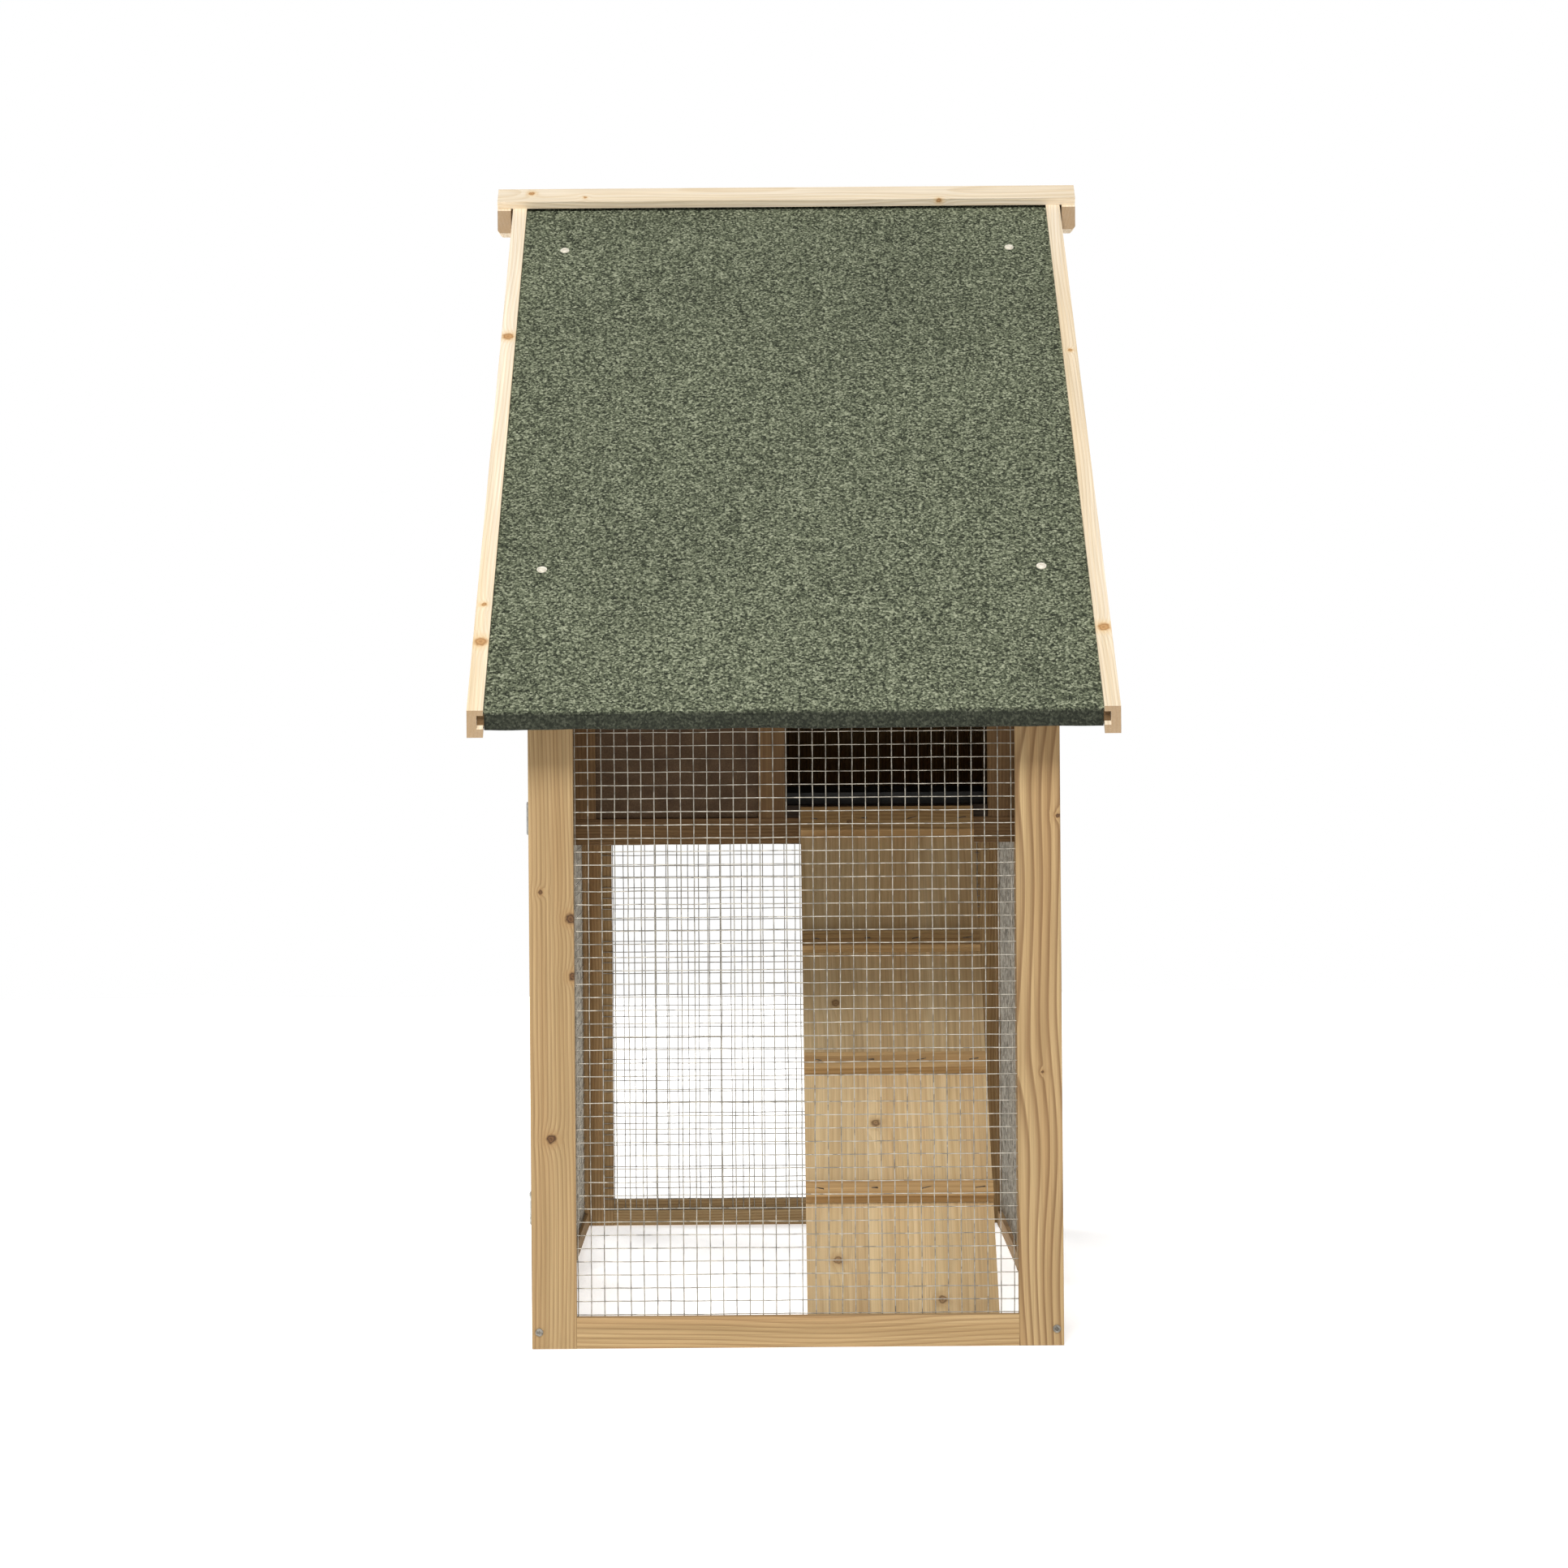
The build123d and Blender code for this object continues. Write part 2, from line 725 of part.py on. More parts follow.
# Ramp
def ramp_frame():
    foot = y_run_end + stick + ramp_foot_gap
    run = y_wall - foot
    length = (run**2 + ramp_sill**2) ** 0.5
    return foot, run / length, ramp_sill / length


def ramp_point(along_ramp, above):
    foot, run, rise = ramp_frame()
    return (foot + along_ramp * run - above * rise, along_ramp * rise + above * run)


def make_ramp():
    foot, run, rise = ramp_frame()
    x_span = (ramp_left, ramp_left + ramp_width)
    foot_back = foot + ramp_board_thickness / rise
    underside = ramp_sill - ramp_board_thickness / run
    with BuildPart() as board:
        slab([(foot, 0), (foot_back, 0), (y_wall, underside), (y_wall, ramp_sill)], x_span)
    save(board, "ramp_board")
    length = ((y_wall - foot) ** 2 + ramp_sill**2) ** 0.5
    cleat_pitch = (length - top_cleat_width - first_cleat) / cleat_count
    with BuildPart() as cleats:
        for i in range(cleat_count):
            start = first_cleat + i * cleat_pitch
            corners = [ramp_point(start, 0), ramp_point(start + cleat_width, 0)]
            corners += [ramp_point(start + cleat_width, cleat), ramp_point(start, cleat)]
            slab(corners, x_span)
        fillet(cleats.edges().filter_by(across), edge_round)
    save(cleats, "ramp_cleats")
    start = length - top_cleat_width
    with BuildPart() as top_cleat:
        corners = [ramp_point(start, 0), ramp_point(length, 0)]
        corners += [ramp_point(length, cleat), ramp_point(start, cleat)]
        slab(corners, x_span)
        fillet(top_cleat.edges().filter_by(across), edge_round)
    save(top_cleat, "ramp_top_cleat")


# Roof
def make_roof_slope(direction, name, eave, distances):
    lip_y = eave - direction * 2 * felt
    board_end = lip_y - direction * felt
    spots = roof_screw_spots(direction, distances)
    half = roof_half_width - trim_width + slot_depth - slot_play
    with BuildPart() as board:
        slab(band_outline(span(board_end, y_ridge), 0, roof_board), (-half, half))
        screw_holes(spots, roof_stack)
    save(board, f"roof_board_{name}")
    clear_half = roof_half_width - trim_width - lip_play
    fold_end = board_end - direction * felt_fold
    with BuildPart() as cover:
        slab(band_outline(span(lip_y, y_ridge), roof_board, roof_stack), (-half, half))
        slab(band_outline(span(lip_y, board_end), 0, roof_stack), (-half, half))
        lip_low = roof_line(lip_y, roof_stack) - felt_lip
        lip = [(lip_y, lip_low), (board_end, lip_low)]
        lip += [(board_end, roof_line(board_end, roof_stack)), (lip_y, roof_line(lip_y, roof_stack))]
        slab(lip, (-clear_half, clear_half))
        slab(band_outline(span(lip_y, fold_end), -felt, 0), (-clear_half, clear_half))
        screw_holes(spots, roof_stack)
    save(cover, f"felt_{name}")
    with BuildPart() as trims:
        for way in (-1, 1):
            outer = way * roof_half_width
            inner = way * (roof_half_width - trim_width)
            y_span = span(eave, y_ridge)
            slab(band_outline(y_span, -slot_play - trim_base, trim_top), span(inner, outer))
            slot_x = span(inner, inner + way * slot_depth)
            slot = band_outline(y_span, -slot_play, roof_stack + slot_play)
            slab(slot, slot_x, Mode.SUBTRACT)
    save(trims, f"roof_trims_{name}")


def make_ridge():
    lean = radians(roof_pitch)
    half = ridge_length / 2
    cap_top = trim_top + ridge_thickness
    apex = roof_line(y_ridge, cap_top)
    for direction, name in ((-1, "long"), (1, "short")):
        low_y = y_ridge + direction * ridge_width * cos(lean)
        low_z = apex - ridge_width * sin(lean)
        corners = [(y_ridge, roof_line(y_ridge, trim_top)), (y_ridge, apex), (low_y, low_z)]
        foot_y = low_y - direction * ridge_thickness * sin(lean)
        corners.append((foot_y, low_z - ridge_thickness * cos(lean)))
        with BuildPart() as board:
            slab(corners, (-half, half))
        save(board, f"ridge_board_{name}")
    with BuildPart() as blocks:
        peak = roof_line(y_ridge, trim_top)
        wide = end_block_width / 2
        low = peak - end_block_drop
        shoulder = roof_line(y_ridge + wide, trim_top)
        corners = [(y_ridge - wide, low), (y_ridge + wide, low), (y_ridge + wide, shoulder)]
        corners += [(y_ridge, peak), (y_ridge - wide, shoulder)]
        for way in (-1, 1):
            slab(corners, span(way * (half - end_block), way * half))
        bottom_edges = blocks.edges().filter_by(along).group_by(Axis.Z)[0]
        chamfer([e for e in bottom_edges if abs(e.center().X) > half - 1], end_block_chamfer)
    save(blocks, "ridge_end_blocks")


# Screws
def make_screws():
    spots = screw_spots_run_end() + screw_spots_house_end()
    with BuildPart() as frame_screws:
        screws(frame_screws, spots, screw_length)
    save(frame_screws, "frame_screws")
    roof_spots = all_roof_screw_spots()
    lifted = [spot * Location((0, 0, washer)) for spot in roof_spots]
    with BuildPart() as roof_screws:
        screws(roof_screws, lifted, roof_stack + washer)
        with Locations(*roof_spots):
            Cylinder(washer_radius, washer, align=above)
    save(roof_screws, "roof_screws")


make_run_end()
make_house_end()
make_plain_side()
make_door_side()
make_run_door()
make_house_door()
make_hinges()
make_latch(run_latch, "run")
make_latch(house_latch, "house")
make_keepers()
make_house_wall()
make_floor()
make_tray()
make_ramp()
make_roof_slope(-1, "long", y_run_eave, long_slope_screws)
make_roof_slope(1, "short", y_house_eave, short_slope_screws)
make_ridge()
make_screws()
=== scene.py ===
import math
import random

import bmesh
import bpy
from mathutils import Euler, Matrix, Vector, noise


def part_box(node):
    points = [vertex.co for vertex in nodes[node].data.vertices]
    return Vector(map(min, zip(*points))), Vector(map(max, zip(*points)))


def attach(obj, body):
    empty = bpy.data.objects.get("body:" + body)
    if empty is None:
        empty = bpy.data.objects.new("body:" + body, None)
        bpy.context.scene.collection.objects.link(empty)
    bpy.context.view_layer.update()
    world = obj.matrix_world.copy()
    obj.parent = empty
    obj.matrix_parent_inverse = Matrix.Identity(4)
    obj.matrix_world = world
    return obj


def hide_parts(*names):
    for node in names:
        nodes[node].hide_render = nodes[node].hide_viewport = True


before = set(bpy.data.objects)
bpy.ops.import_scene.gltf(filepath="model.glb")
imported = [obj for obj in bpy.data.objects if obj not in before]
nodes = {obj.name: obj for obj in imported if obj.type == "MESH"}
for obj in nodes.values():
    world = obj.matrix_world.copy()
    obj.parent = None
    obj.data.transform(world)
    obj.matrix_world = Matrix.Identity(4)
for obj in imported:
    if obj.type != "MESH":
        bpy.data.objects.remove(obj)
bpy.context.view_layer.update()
mm = 0.001
roofPitch = math.radians(38)
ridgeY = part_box("ridge_board_long")[1].y

stage = {
    "floorSize": 8.0,
    "floorColour": "#FFFFFF",
    "floorGlow": 0.55,
    "worldColour": "#FFFFFF",
    "worldSeen": 1.0,
    "worldLight": 0.3,
    "floorDrop": 0.5 * mm,
    "lightTarget": (0, 0, 0.6),
    "key": {"place": (-0.7, -3.7, 4.0), "size": 1.7, "power": 225.0},
    "fill": {"place": (2.9, -2.6, 1.3), "size": 2.2, "power": 14.0},
    "back": {"place": (-2.4, 3.2, 2.6), "size": 2.6, "power": 140.0},
}

view = {
    "place": (-0.021, -4.139, 0.620),
    "lens": 88.6,
    "sensor": 36.0,
    "farthest": 60.0,
    "roll": 0.43,
    "shiftX": 0.008,
    "shiftY": -0.0533,
}


# Colour and node helpers
def toLinear(text):
    channels = [int(text[i : i + 2], 16) / 255 for i in (1, 3, 5)]
    bright = [c / 12.92 if c <= 0.04045 else ((c + 0.055) / 1.055) ** 2.4 for c in channels]
    return (*bright, 1.0)


def node(tree, kind, inputs=None, stops=(), **settings):
    made = tree.nodes.new(kind)
    for key, value in settings.items():
        setattr(made, key, value)
    for key, value in (inputs or {}).items():
        if isinstance(value, bpy.types.Node):
            value = value.outputs[0]
        if isinstance(value, bpy.types.NodeSocket):
            tree.links.new(value, made.inputs[key])
        else:
            made.inputs[key].default_value = value
    for spare in stops[2:]:
        made.color_ramp.elements.new(0.5)
    for element, (place, colour) in zip(made.color_ramp.elements if stops else (), stops):
        element.position = place
        element.color = toLinear(colour) if isinstance(colour, str) else (colour, colour, colour, 1)
    return made


def newMaterial(name):
    material = bpy.data.materials.new(name)
    material.use_nodes = True
    tree = material.node_tree
    tree.nodes.clear()
    shader = node(tree, "ShaderNodeBsdfPrincipled")
    node(tree, "ShaderNodeOutputMaterial", {"Surface": shader})
    return material, tree, shader


def connect(tree, shader, colour, roughness, height, depth):
    bump = node(tree, "ShaderNodeBump", {"Height": height, "Distance": depth, "Strength": 1.0})
    tree.links.new(colour, shader.inputs["Base Color"])
    tree.links.new(roughness.outputs[0], shader.inputs["Roughness"])
    tree.links.new(bump.outputs["Normal"], shader.inputs["Normal"])


# Planed pine: pale early wood, narrow brown late wood, fine fibres along the stick and a few knots
honeyPine = {
    "early": "#BA9E72",
    "mid": "#A68A60",
    "warm": "#A07B50",
    "late": "#80603C",
    "knotHeart": "#412A19",
    "knotRim": "#6A4B2D",
    "knotHalo": "#937249",
    "ringWidth": 3.6,
    "contrast": 0.5,
    "wander": 0.034,
    "strayKnots": 0.35,
    "end": "#7C6244",
    "endShade": 0.6,
}

creamPine = dict(
    honeyPine,
    early="#F5E7D1",
    mid="#EEDCBE",
    warm="#E6CFAA",
    late="#D8BC91",
    knotHeart="#A2774A",
    knotRim="#BF9462",
    knotHalo="#D8B886",
    contrast=0.4,
    strayKnots=0.0,
    end="#8E7353",
    endShade=0.85,
)

rampPine = dict(
    honeyPine,
    early="#DCC49A",
    mid="#CCB081",
    warm="#BD9D71",
    late="#AE8D60",
    ringWidth=5.5,
    contrast=0.34,
    strayKnots=0.0,
    knotHeart="#6A5138",
    knotRim="#957650",
    knotHalo="#A98A5E",
)

figuredPine = dict(honeyPine, late="#6E4C2B", ringWidth=6.5, contrast=0.72, wander=0.09)

# Painted shade: the cleats are a darker copy of the ramp pine, standing in for the shade on their edges
cleatPinePaintedShade = dict(
    rampPine, early="#C2A06E", mid="#B18D5E", warm="#A07D50", late="#8E6C42", contrast=0.5
)

# Painted shade: a darker copy of the honey pine for the parts inside the run and the undersides of the
# roof boards
innerPinePaintedShade = dict(
    honeyPine, early="#826540", mid="#735736", warm="#644A2D", late="#553D23", strayKnots=0.0
)

# Painted shade: nearly black pine for the house floor, standing in for the shade inside the house
houseInsidePaintedShade = dict(innerPinePaintedShade, early="#37291A", mid="#2F2114", warm="#281C11", late="#20160B")

# What all the pines share. Stretches are per metre, twice across the grain and then along it.
# Sizes are in metres.
grainShape = {
    "boardShift": (0.03, 0.03, 5),
    "driftStretch": (3, 3, 2.2),
    "rippleStretch": (60, 60, 6),
    "ripple": 0.0022,
    "strayStretch": (7, 7, 3.3),
    "straySize": 0.028,
    "raggedScale": 260.0,
    "raggedness": 0.004,
    "knotBlend": 0.25,
    "swirlFade": -0.6,
    "swirl": 0.009,
    "fibreStretch": (760, 760, 9),
    "streakStretch": (120, 120, 1.6),
    "patchStretch": (26, 26, 1.8),
    "haloReach": 0.2,
    "ringBump": 0.5,
    "bump": 0.0003,
}

# Degrees that turn each grain upright
grainTurn = {
    "z": (0, 0, 0),
    "x": (0, -90, 0),
    "y": (90, 0, 0),
    "long": (52, 0, 0),
    "short": (-52, 0, 0),
    "ramp": (42.87, 0, 0),
}


# Space in the wood, with z along the grain. Each stick or board of a piece has wood of its own.
def grainSpace(tree, name, place, turn, seed, box, split):
    draw = random.Random(seed)
    parts = list(node(tree, "ShaderNodeSeparateXYZ", {0: place}).outputs)
    middle = (box[0] + box[1]) / 2
    if "rake" in name:  # one piece on each slope, so the long slope's grain is mirrored at the ridge
        parts[1] = node(tree, "ShaderNodeMath", {0: parts[1], 1: ridgeY}, operation="SUBTRACT")
        parts[1] = node(tree, "ShaderNodeMath", {0: parts[1]}, operation="ABSOLUTE")
        parts[1] = node(tree, "ShaderNodeMath", {0: ridgeY, 1: parts[1]}, operation="SUBTRACT")
    axis, count = split
    margin = 1 * mm
    pitch = (box[1][axis] - box[0][axis] + 2 * margin) / count
    step = node(
        tree, "ShaderNodeMath", {0: parts[axis], 1: box[0][axis] - margin}, operation="SUBTRACT"
    )
    step = node(tree, "ShaderNodeMath", {0: step, 1: pitch}, operation="DIVIDE")
    board = node(tree, "ShaderNodeMath", {0: step}, operation="FLOOR")
    inBoard = node(tree, "ShaderNodeMath", {0: step}, operation="FRACT")
    inBoard = node(tree, "ShaderNodeMath", {0: inBoard, 1: 0.5}, operation="SUBTRACT")
    parts[axis] = node(tree, "ShaderNodeMath", {0: inBoard, 1: pitch}, operation="MULTIPLY")
    middle[axis] = 0
    local = node(tree, "ShaderNodeCombineXYZ", dict(enumerate(parts)))
    shift = [draw.choice((-1, 1)) * draw.uniform(12, 38) * mm for i in (0, 1)]
    shift = Vector(shift + [draw.uniform(0, 7)])
    straight = node(
        tree,
        "ShaderNodeMapping",
        {"Vector": local, "Rotation": turn, "Location": shift - turn.to_matrix() @ middle},
    )
    numbered = node(tree, "ShaderNodeMath", {0: board, 1: seed * 0.37}, operation="ADD")
    chance = node(tree, "ShaderNodeTexWhiteNoise", {"W": numbered}, noise_dimensions="1D")
    inWood = node(
        tree,
        "ShaderNodeVectorMath",
        {0: chance.outputs["Color"], 1: grainShape["boardShift"], 2: straight},
        operation="MULTIPLY_ADD",
    )
    return inWood, chance.outputs["Value"]


# Distance from the nearest knot in knot radii. Stray knots come by chance, and the ones that stand
# out have ragged rims.
def knotReach(tree, place, straySpace, strayShare, knots):
    strays = node(tree, "ShaderNodeTexVoronoi", {"Vector": straySpace, "Scale": 1.0})
    strayReach = node(
        tree,
        "ShaderNodeMath",
        {0: strays.outputs["Distance"], 1: grainShape["straySize"]},
        operation="DIVIDE",
    )
    picked = node(tree, "ShaderNodeSeparateColor", {"Color": strays.outputs["Color"]})
    unpicked = node(tree, "ShaderNodeMath", {0: picked, 1: strayShare}, operation="GREATER_THAN")
    farAway = 90.0
    reach = node(
        tree, "ShaderNodeMath", {0: unpicked, 1: farAway, 2: strayReach}, operation="MULTIPLY_ADD"
    )
    rough = node(
        tree,
        "ShaderNodeTexNoise",
        {"Vector": place, "Scale": grainShape["raggedScale"], "Detail": 2.0},
    )
    ragged = node(
        tree,
        "ShaderNodeVectorMath",
        {0: rough.outputs["Color"], 1: [grainShape["raggedness"]] * 3, 2: place},
        operation="MULTIPLY_ADD",
    )
    push = 2  # mm, half the raggedness, which the noise adds on average
    for centre, size in knots:
        away = node(
            tree,
            "ShaderNodeVectorMath",
            {0: ragged, 1: [(c + push) * mm for c in centre]},
            operation="DISTANCE",
        ).outputs["Value"]
        away = node(tree, "ShaderNodeMath", {0: away, 1: size * mm}, operation="DIVIDE")
        reach = node(
            tree,
            "ShaderNodeMath",
            {0: reach, 1: away, 2: grainShape["knotBlend"]},
            operation="SMOOTH_MIN",
        )
    return reach


# Rings are circles about a line near the piece, which wanders, and they bend round each knot
def lateRings(tree, inWood, spaces, reach, look):
    drift = node(
        tree, "ShaderNodeTexNoise", {"Vector": spaces["drift"], "Scale": 1.0, "Detail": 1.0}
    ).outputs["Color"]
    drift = node(
        tree, "ShaderNodeVectorMath", {0: drift, 1: (0.5, 0.5, 0.5)}, operation="SUBTRACT"
    )
    wander = node(
        tree,
        "ShaderNodeVectorMath",
        {0: drift, 1: (look["wander"], look["wander"], 0), 2: inWood},
        operation="MULTIPLY_ADD",
    )
    flat = node(tree, "ShaderNodeVectorMath", {0: wander, 1: (1, 1, 0)}, operation="MULTIPLY")
    radius = node(tree, "ShaderNodeVectorMath", {0: flat}, operation="LENGTH").outputs["Value"]
    ripple = node(tree, "ShaderNodeTexNoise", {"Vector": spaces["ripple"], "Scale": 1.0})
    rippled = node(
        tree,
        "ShaderNodeMath",
        {0: ripple.outputs["Fac"], 1: grainShape["ripple"], 2: radius},
        operation="MULTIPLY_ADD",
    )
    swirl = node(
        tree, "ShaderNodeMath", {0: reach, 1: grainShape["swirlFade"]}, operation="MULTIPLY"
    )
    swirl = node(tree, "ShaderNodeMath", {0: swirl}, operation="EXPONENT")
    bent = node(
        tree,
        "ShaderNodeMath",
        {0: swirl, 1: grainShape["swirl"], 2: rippled},
        operation="MULTIPLY_ADD",
    )
    phase = node(tree, "ShaderNodeMath", {0: bent, 1: look["ringWidth"] * mm}, operation="DIVIDE")
    ring = node(tree, "ShaderNodeMath", {0: phase}, operation="FRACT")
    return node(
        tree,
        "ShaderNodeValToRGB",
        {"Fac": ring},
        stops=[(0.0, 0.0), (0.45, 0.18), (0.84, 1.0), (0.95, 0.7), (1.0, 0.0)],
    )


def pine(name, look, grain, knots, seed, box, split):
    material, tree, shader = newMaterial(name)
    turn = Euler([math.radians(a) for a in grainTurn[grain]])
    place = node(tree, "ShaderNodeTexCoord").outputs["Object"]
    inWood, chance = grainSpace(tree, name, place, turn, seed, box, split)
    spaces = {}
    for feature in ("drift", "ripple", "stray", "fibre", "streak", "patch"):
        stretch = grainShape[feature + "Stretch"]
        spaces[feature] = node(
            tree, "ShaderNodeVectorMath", {0: inWood, 1: stretch}, operation="MULTIPLY"
        )
    reach = knotReach(tree, place, spaces["stray"], look["strayKnots"], knots)
    lateWood = lateRings(tree, inWood, spaces, reach, look)

    soft = {}
    for feature, detail in (("fibre", 3.0), ("streak", 3.0), ("patch", 2.0)):
        soft[feature] = node(
            tree,
            "ShaderNodeTexNoise",
            {"Vector": spaces[feature], "Scale": 1.0, "Detail": detail},
        )
    fibre = soft["fibre"].outputs["Fac"]
    streakTone = node(
        tree, "ShaderNodeValToRGB", {"Fac": soft["streak"]}, stops=[(0.32, 0.0), (0.68, 1.0)]
    )
    patchTone = node(
        tree, "ShaderNodeValToRGB", {"Fac": soft["patch"]}, stops=[(0.42, 0.0), (0.72, 0.85)]
    )
    ringTone = node(
        tree, "ShaderNodeMath", {0: lateWood, 1: look["contrast"]}, operation="MULTIPLY"
    )
    fibreTone = node(tree, "ShaderNodeValToRGB", {"Fac": fibre}, stops=[(0.3, 0.82), (0.7, 1.05)])
    boardTone = node(tree, "ShaderNodeValToRGB", {"Fac": chance}, stops=[(0.0, 0.86), (1.0, 1.0)])
    # Sawn ends drink in the light and look darker
    facing = node(
        tree,
        "ShaderNodeVectorRotate",
        {"Vector": node(tree, "ShaderNodeTexCoord").outputs["Normal"], "Rotation": turn},
        rotation_type="EULER_XYZ",
    )
    along = node(tree, "ShaderNodeSeparateXYZ", {0: facing}).outputs["Z"]
    along = node(tree, "ShaderNodeMath", {0: along}, operation="ABSOLUTE")
    endTone = node(
        tree, "ShaderNodeValToRGB", {"Fac": along}, stops=[(0.62, 0.0), (0.78, look["endShade"])]
    )
    near = node(
        tree, "ShaderNodeMath", {0: reach, 1: grainShape["haloReach"]}, operation="MULTIPLY"
    )
    haloTone = node(tree, "ShaderNodeValToRGB", {"Fac": near}, stops=[(0.0, 1.0), (0.5, 0.0)])
    heart, rim = look["knotHeart"], look["knotRim"]
    knotColour = node(
        tree,
        "ShaderNodeValToRGB",
        {"Fac": near},
        stops=[(0.0, heart), (0.09, rim), (0.15, heart), (0.22, rim)],
    )
    knotTone = node(tree, "ShaderNodeValToRGB", {"Fac": near}, stops=[(0.15, 1.0), (0.26, 0.0)])
    layers = [
        (streakTone, toLinear(look["mid"]), "MIX"),
        (patchTone, toLinear(look["warm"]), "MIX"),
        (ringTone, toLinear(look["late"]), "MIX"),
        (1.0, fibreTone, "MULTIPLY"),
        (1.0, boardTone, "MULTIPLY"),
        (endTone, toLinear(look["end"]), "MIX"),
        (haloTone, toLinear(look["knotHalo"]), "MIX"),
        (knotTone, knotColour, "MIX"),
    ]
    wood = toLinear(look["early"])
    for share, colour, blend in layers:
        wood = node(
            tree,
            "ShaderNodeMix",
            {"Factor": share, 6: wood, 7: colour},
            data_type="RGBA",
            blend_type=blend,
        ).outputs[2]
    roughness = node(tree, "ShaderNodeValToRGB", {"Fac": fibre}, stops=[(0.3, 0.82), (0.7, 0.64)])
    height = node(
        tree,
        "ShaderNodeMath",
        {0: lateWood, 1: grainShape["ringBump"], 2: fibre},
        operation="MULTIPLY_ADD",
    )
    shader.inputs["IOR"].default_value = 1.5
    shader.inputs["Specular IOR Level"].default_value = 0.3
    connect(tree, shader, wood, roughness, height, grainShape["bump"])
    return material


# Hardboard: pressed brown wood fibre, even in colour with a fine felted mottle. Its browns are darker than
# the board's own, as painted shade under the roof.
hardboardPaintedShade = {
    "dark": "#3F2C19",
    "body": "#49351E",
    "pale": "#553F25",
    "fibre": 1.4,
    "mottle": 22.0,
    "bump": 0.15,
}


def pressedBoard():
    material, tree, shader = newMaterial("brownHardboardPaintedShade")
    place = node(tree, "ShaderNodeTexCoord").outputs["Object"]
    fibre, mottle = (
        node(
            tree,
            "ShaderNodeTexNoise",
            {"Vector": place, "Scale": 1 / (hardboardPaintedShade[feature] * mm), "Detail": 3.0},
        ).outputs["Fac"]
        for feature in ("fibre", "mottle")
    )
    mixed = node(tree, "ShaderNodeMath", {0: fibre, 1: mottle}, operation="ADD")
    mixed = node(tree, "ShaderNodeMath", {0: mixed, 1: 0.5}, operation="MULTIPLY")
    colour = node(
        tree,
        "ShaderNodeValToRGB",
        {"Fac": mixed},
        stops=[(0.35, hardboardPaintedShade["dark"]), (0.5, hardboardPaintedShade["body"]), (0.66, hardboardPaintedShade["pale"])],
    )
    roughness = node(tree, "ShaderNodeValToRGB", {"Fac": mixed}, stops=[(0.35, 0.9), (0.66, 0.7)])
    connect(tree, shader, colour.outputs[0], roughness, fibre, hardboardPaintedShade["bump"] * mm)
    return material


# Roofing felt: bitumen sheet covered with crushed green slate, which gives a coarse matt speckle.
# Where it folds over the eave it is painted near black, as painted shade under the eave.
roofFelt = {
    "grain": 2.0,  # mm, coarser than the real grit so that it shows
    "clump": 6.0,
    "dark": "#262A1F",
    "shade": "#4A4F3E",
    "body": "#6C725B",
    "pale": "#A0A48B",
    # Painted shade on the fold round the eave: its near-black colour and how much of it is mixed in
    "foldShadeColour": "#1D1F18",
    "foldShadeShare": 0.86,
    "gritDip": -0.6,
    "bump": 1.1,
}


def slateFelt():
    material, tree, shader = newMaterial("greenMineralFelt")
    place = node(tree, "ShaderNodeTexCoord").outputs["Object"]
    perMetre = 1 / (roofFelt["grain"] * mm)
    grit = node(tree, "ShaderNodeTexVoronoi", {"Vector": place, "Scale": perMetre})
    fine = node(tree, "ShaderNodeTexNoise", {"Vector": place, "Scale": perMetre * 0.8, "Detail": 3.0})
    clumps = node(
        tree,
        "ShaderNodeTexNoise",
        {"Vector": place, "Scale": 1 / (roofFelt["clump"] * mm), "Detail": 2.0},
    )
    wear = node(tree, "ShaderNodeTexNoise", {"Vector": place, "Scale": 6.0, "Detail": 4.0})
    shade = node(tree, "ShaderNodeSeparateColor", {"Color": grit.outputs["Color"]})
    mixed = node(tree, "ShaderNodeMath", {0: shade, 1: 0.5, 2: fine}, operation="MULTIPLY_ADD")
    mixed = node(tree, "ShaderNodeMath", {0: clumps, 1: 0.3, 2: mixed}, operation="MULTIPLY_ADD")
    mixed = node(tree, "ShaderNodeMath", {0: mixed, 1: 0.55}, operation="MULTIPLY")
    speckle = node(
        tree,
        "ShaderNodeValToRGB",
        {"Fac": mixed},
        stops=[
            (0.34, roofFelt["dark"]),
            (0.45, roofFelt["shade"]),
            (0.55, roofFelt["body"]),
            (0.68, roofFelt["pale"]),
        ],
    )
    wornTone = node(tree, "ShaderNodeValToRGB", {"Fac": wear}, stops=[(0.3, 0.88), (0.7, 1.05)])
    worn = node(
        tree,
        "ShaderNodeMix",
        {"Factor": 1.0, 6: speckle, 7: wornTone},
        data_type="RGBA",
        blend_type="MULTIPLY",
    ).outputs[2]
    # Painted shade: the fold attribute darkens the felt towards near black round the eave and under the
    # roof board
    fold = node(tree, "ShaderNodeAttribute", attribute_name="fold").outputs["Fac"]
    foldShadeMix = node(tree, "ShaderNodeMath", {0: fold, 1: roofFelt["foldShadeShare"]}, operation="MULTIPLY")
    folded = node(
        tree,
        "ShaderNodeMix",
        {"Factor": foldShadeMix, 6: worn, 7: toLinear(roofFelt["foldShadeColour"])},
        data_type="RGBA",
    ).outputs[2]
    height = node(
        tree,
        "ShaderNodeMath",
        {0: grit.outputs["Distance"], 1: roofFelt["gritDip"], 2: mixed},
        operation="MULTIPLY_ADD",
    )
    roughness = node(tree, "ShaderNodeValToRGB", {"Fac": mixed}, stops=[(0.3, 0.98), (0.7, 0.86)])
    shader.inputs["IOR"].default_value = 1.5
    shader.inputs["Specular IOR Level"].default_value = 0.25
    connect(tree, shader, folded, roughness, height, roofFelt["bump"] * mm)
    return material


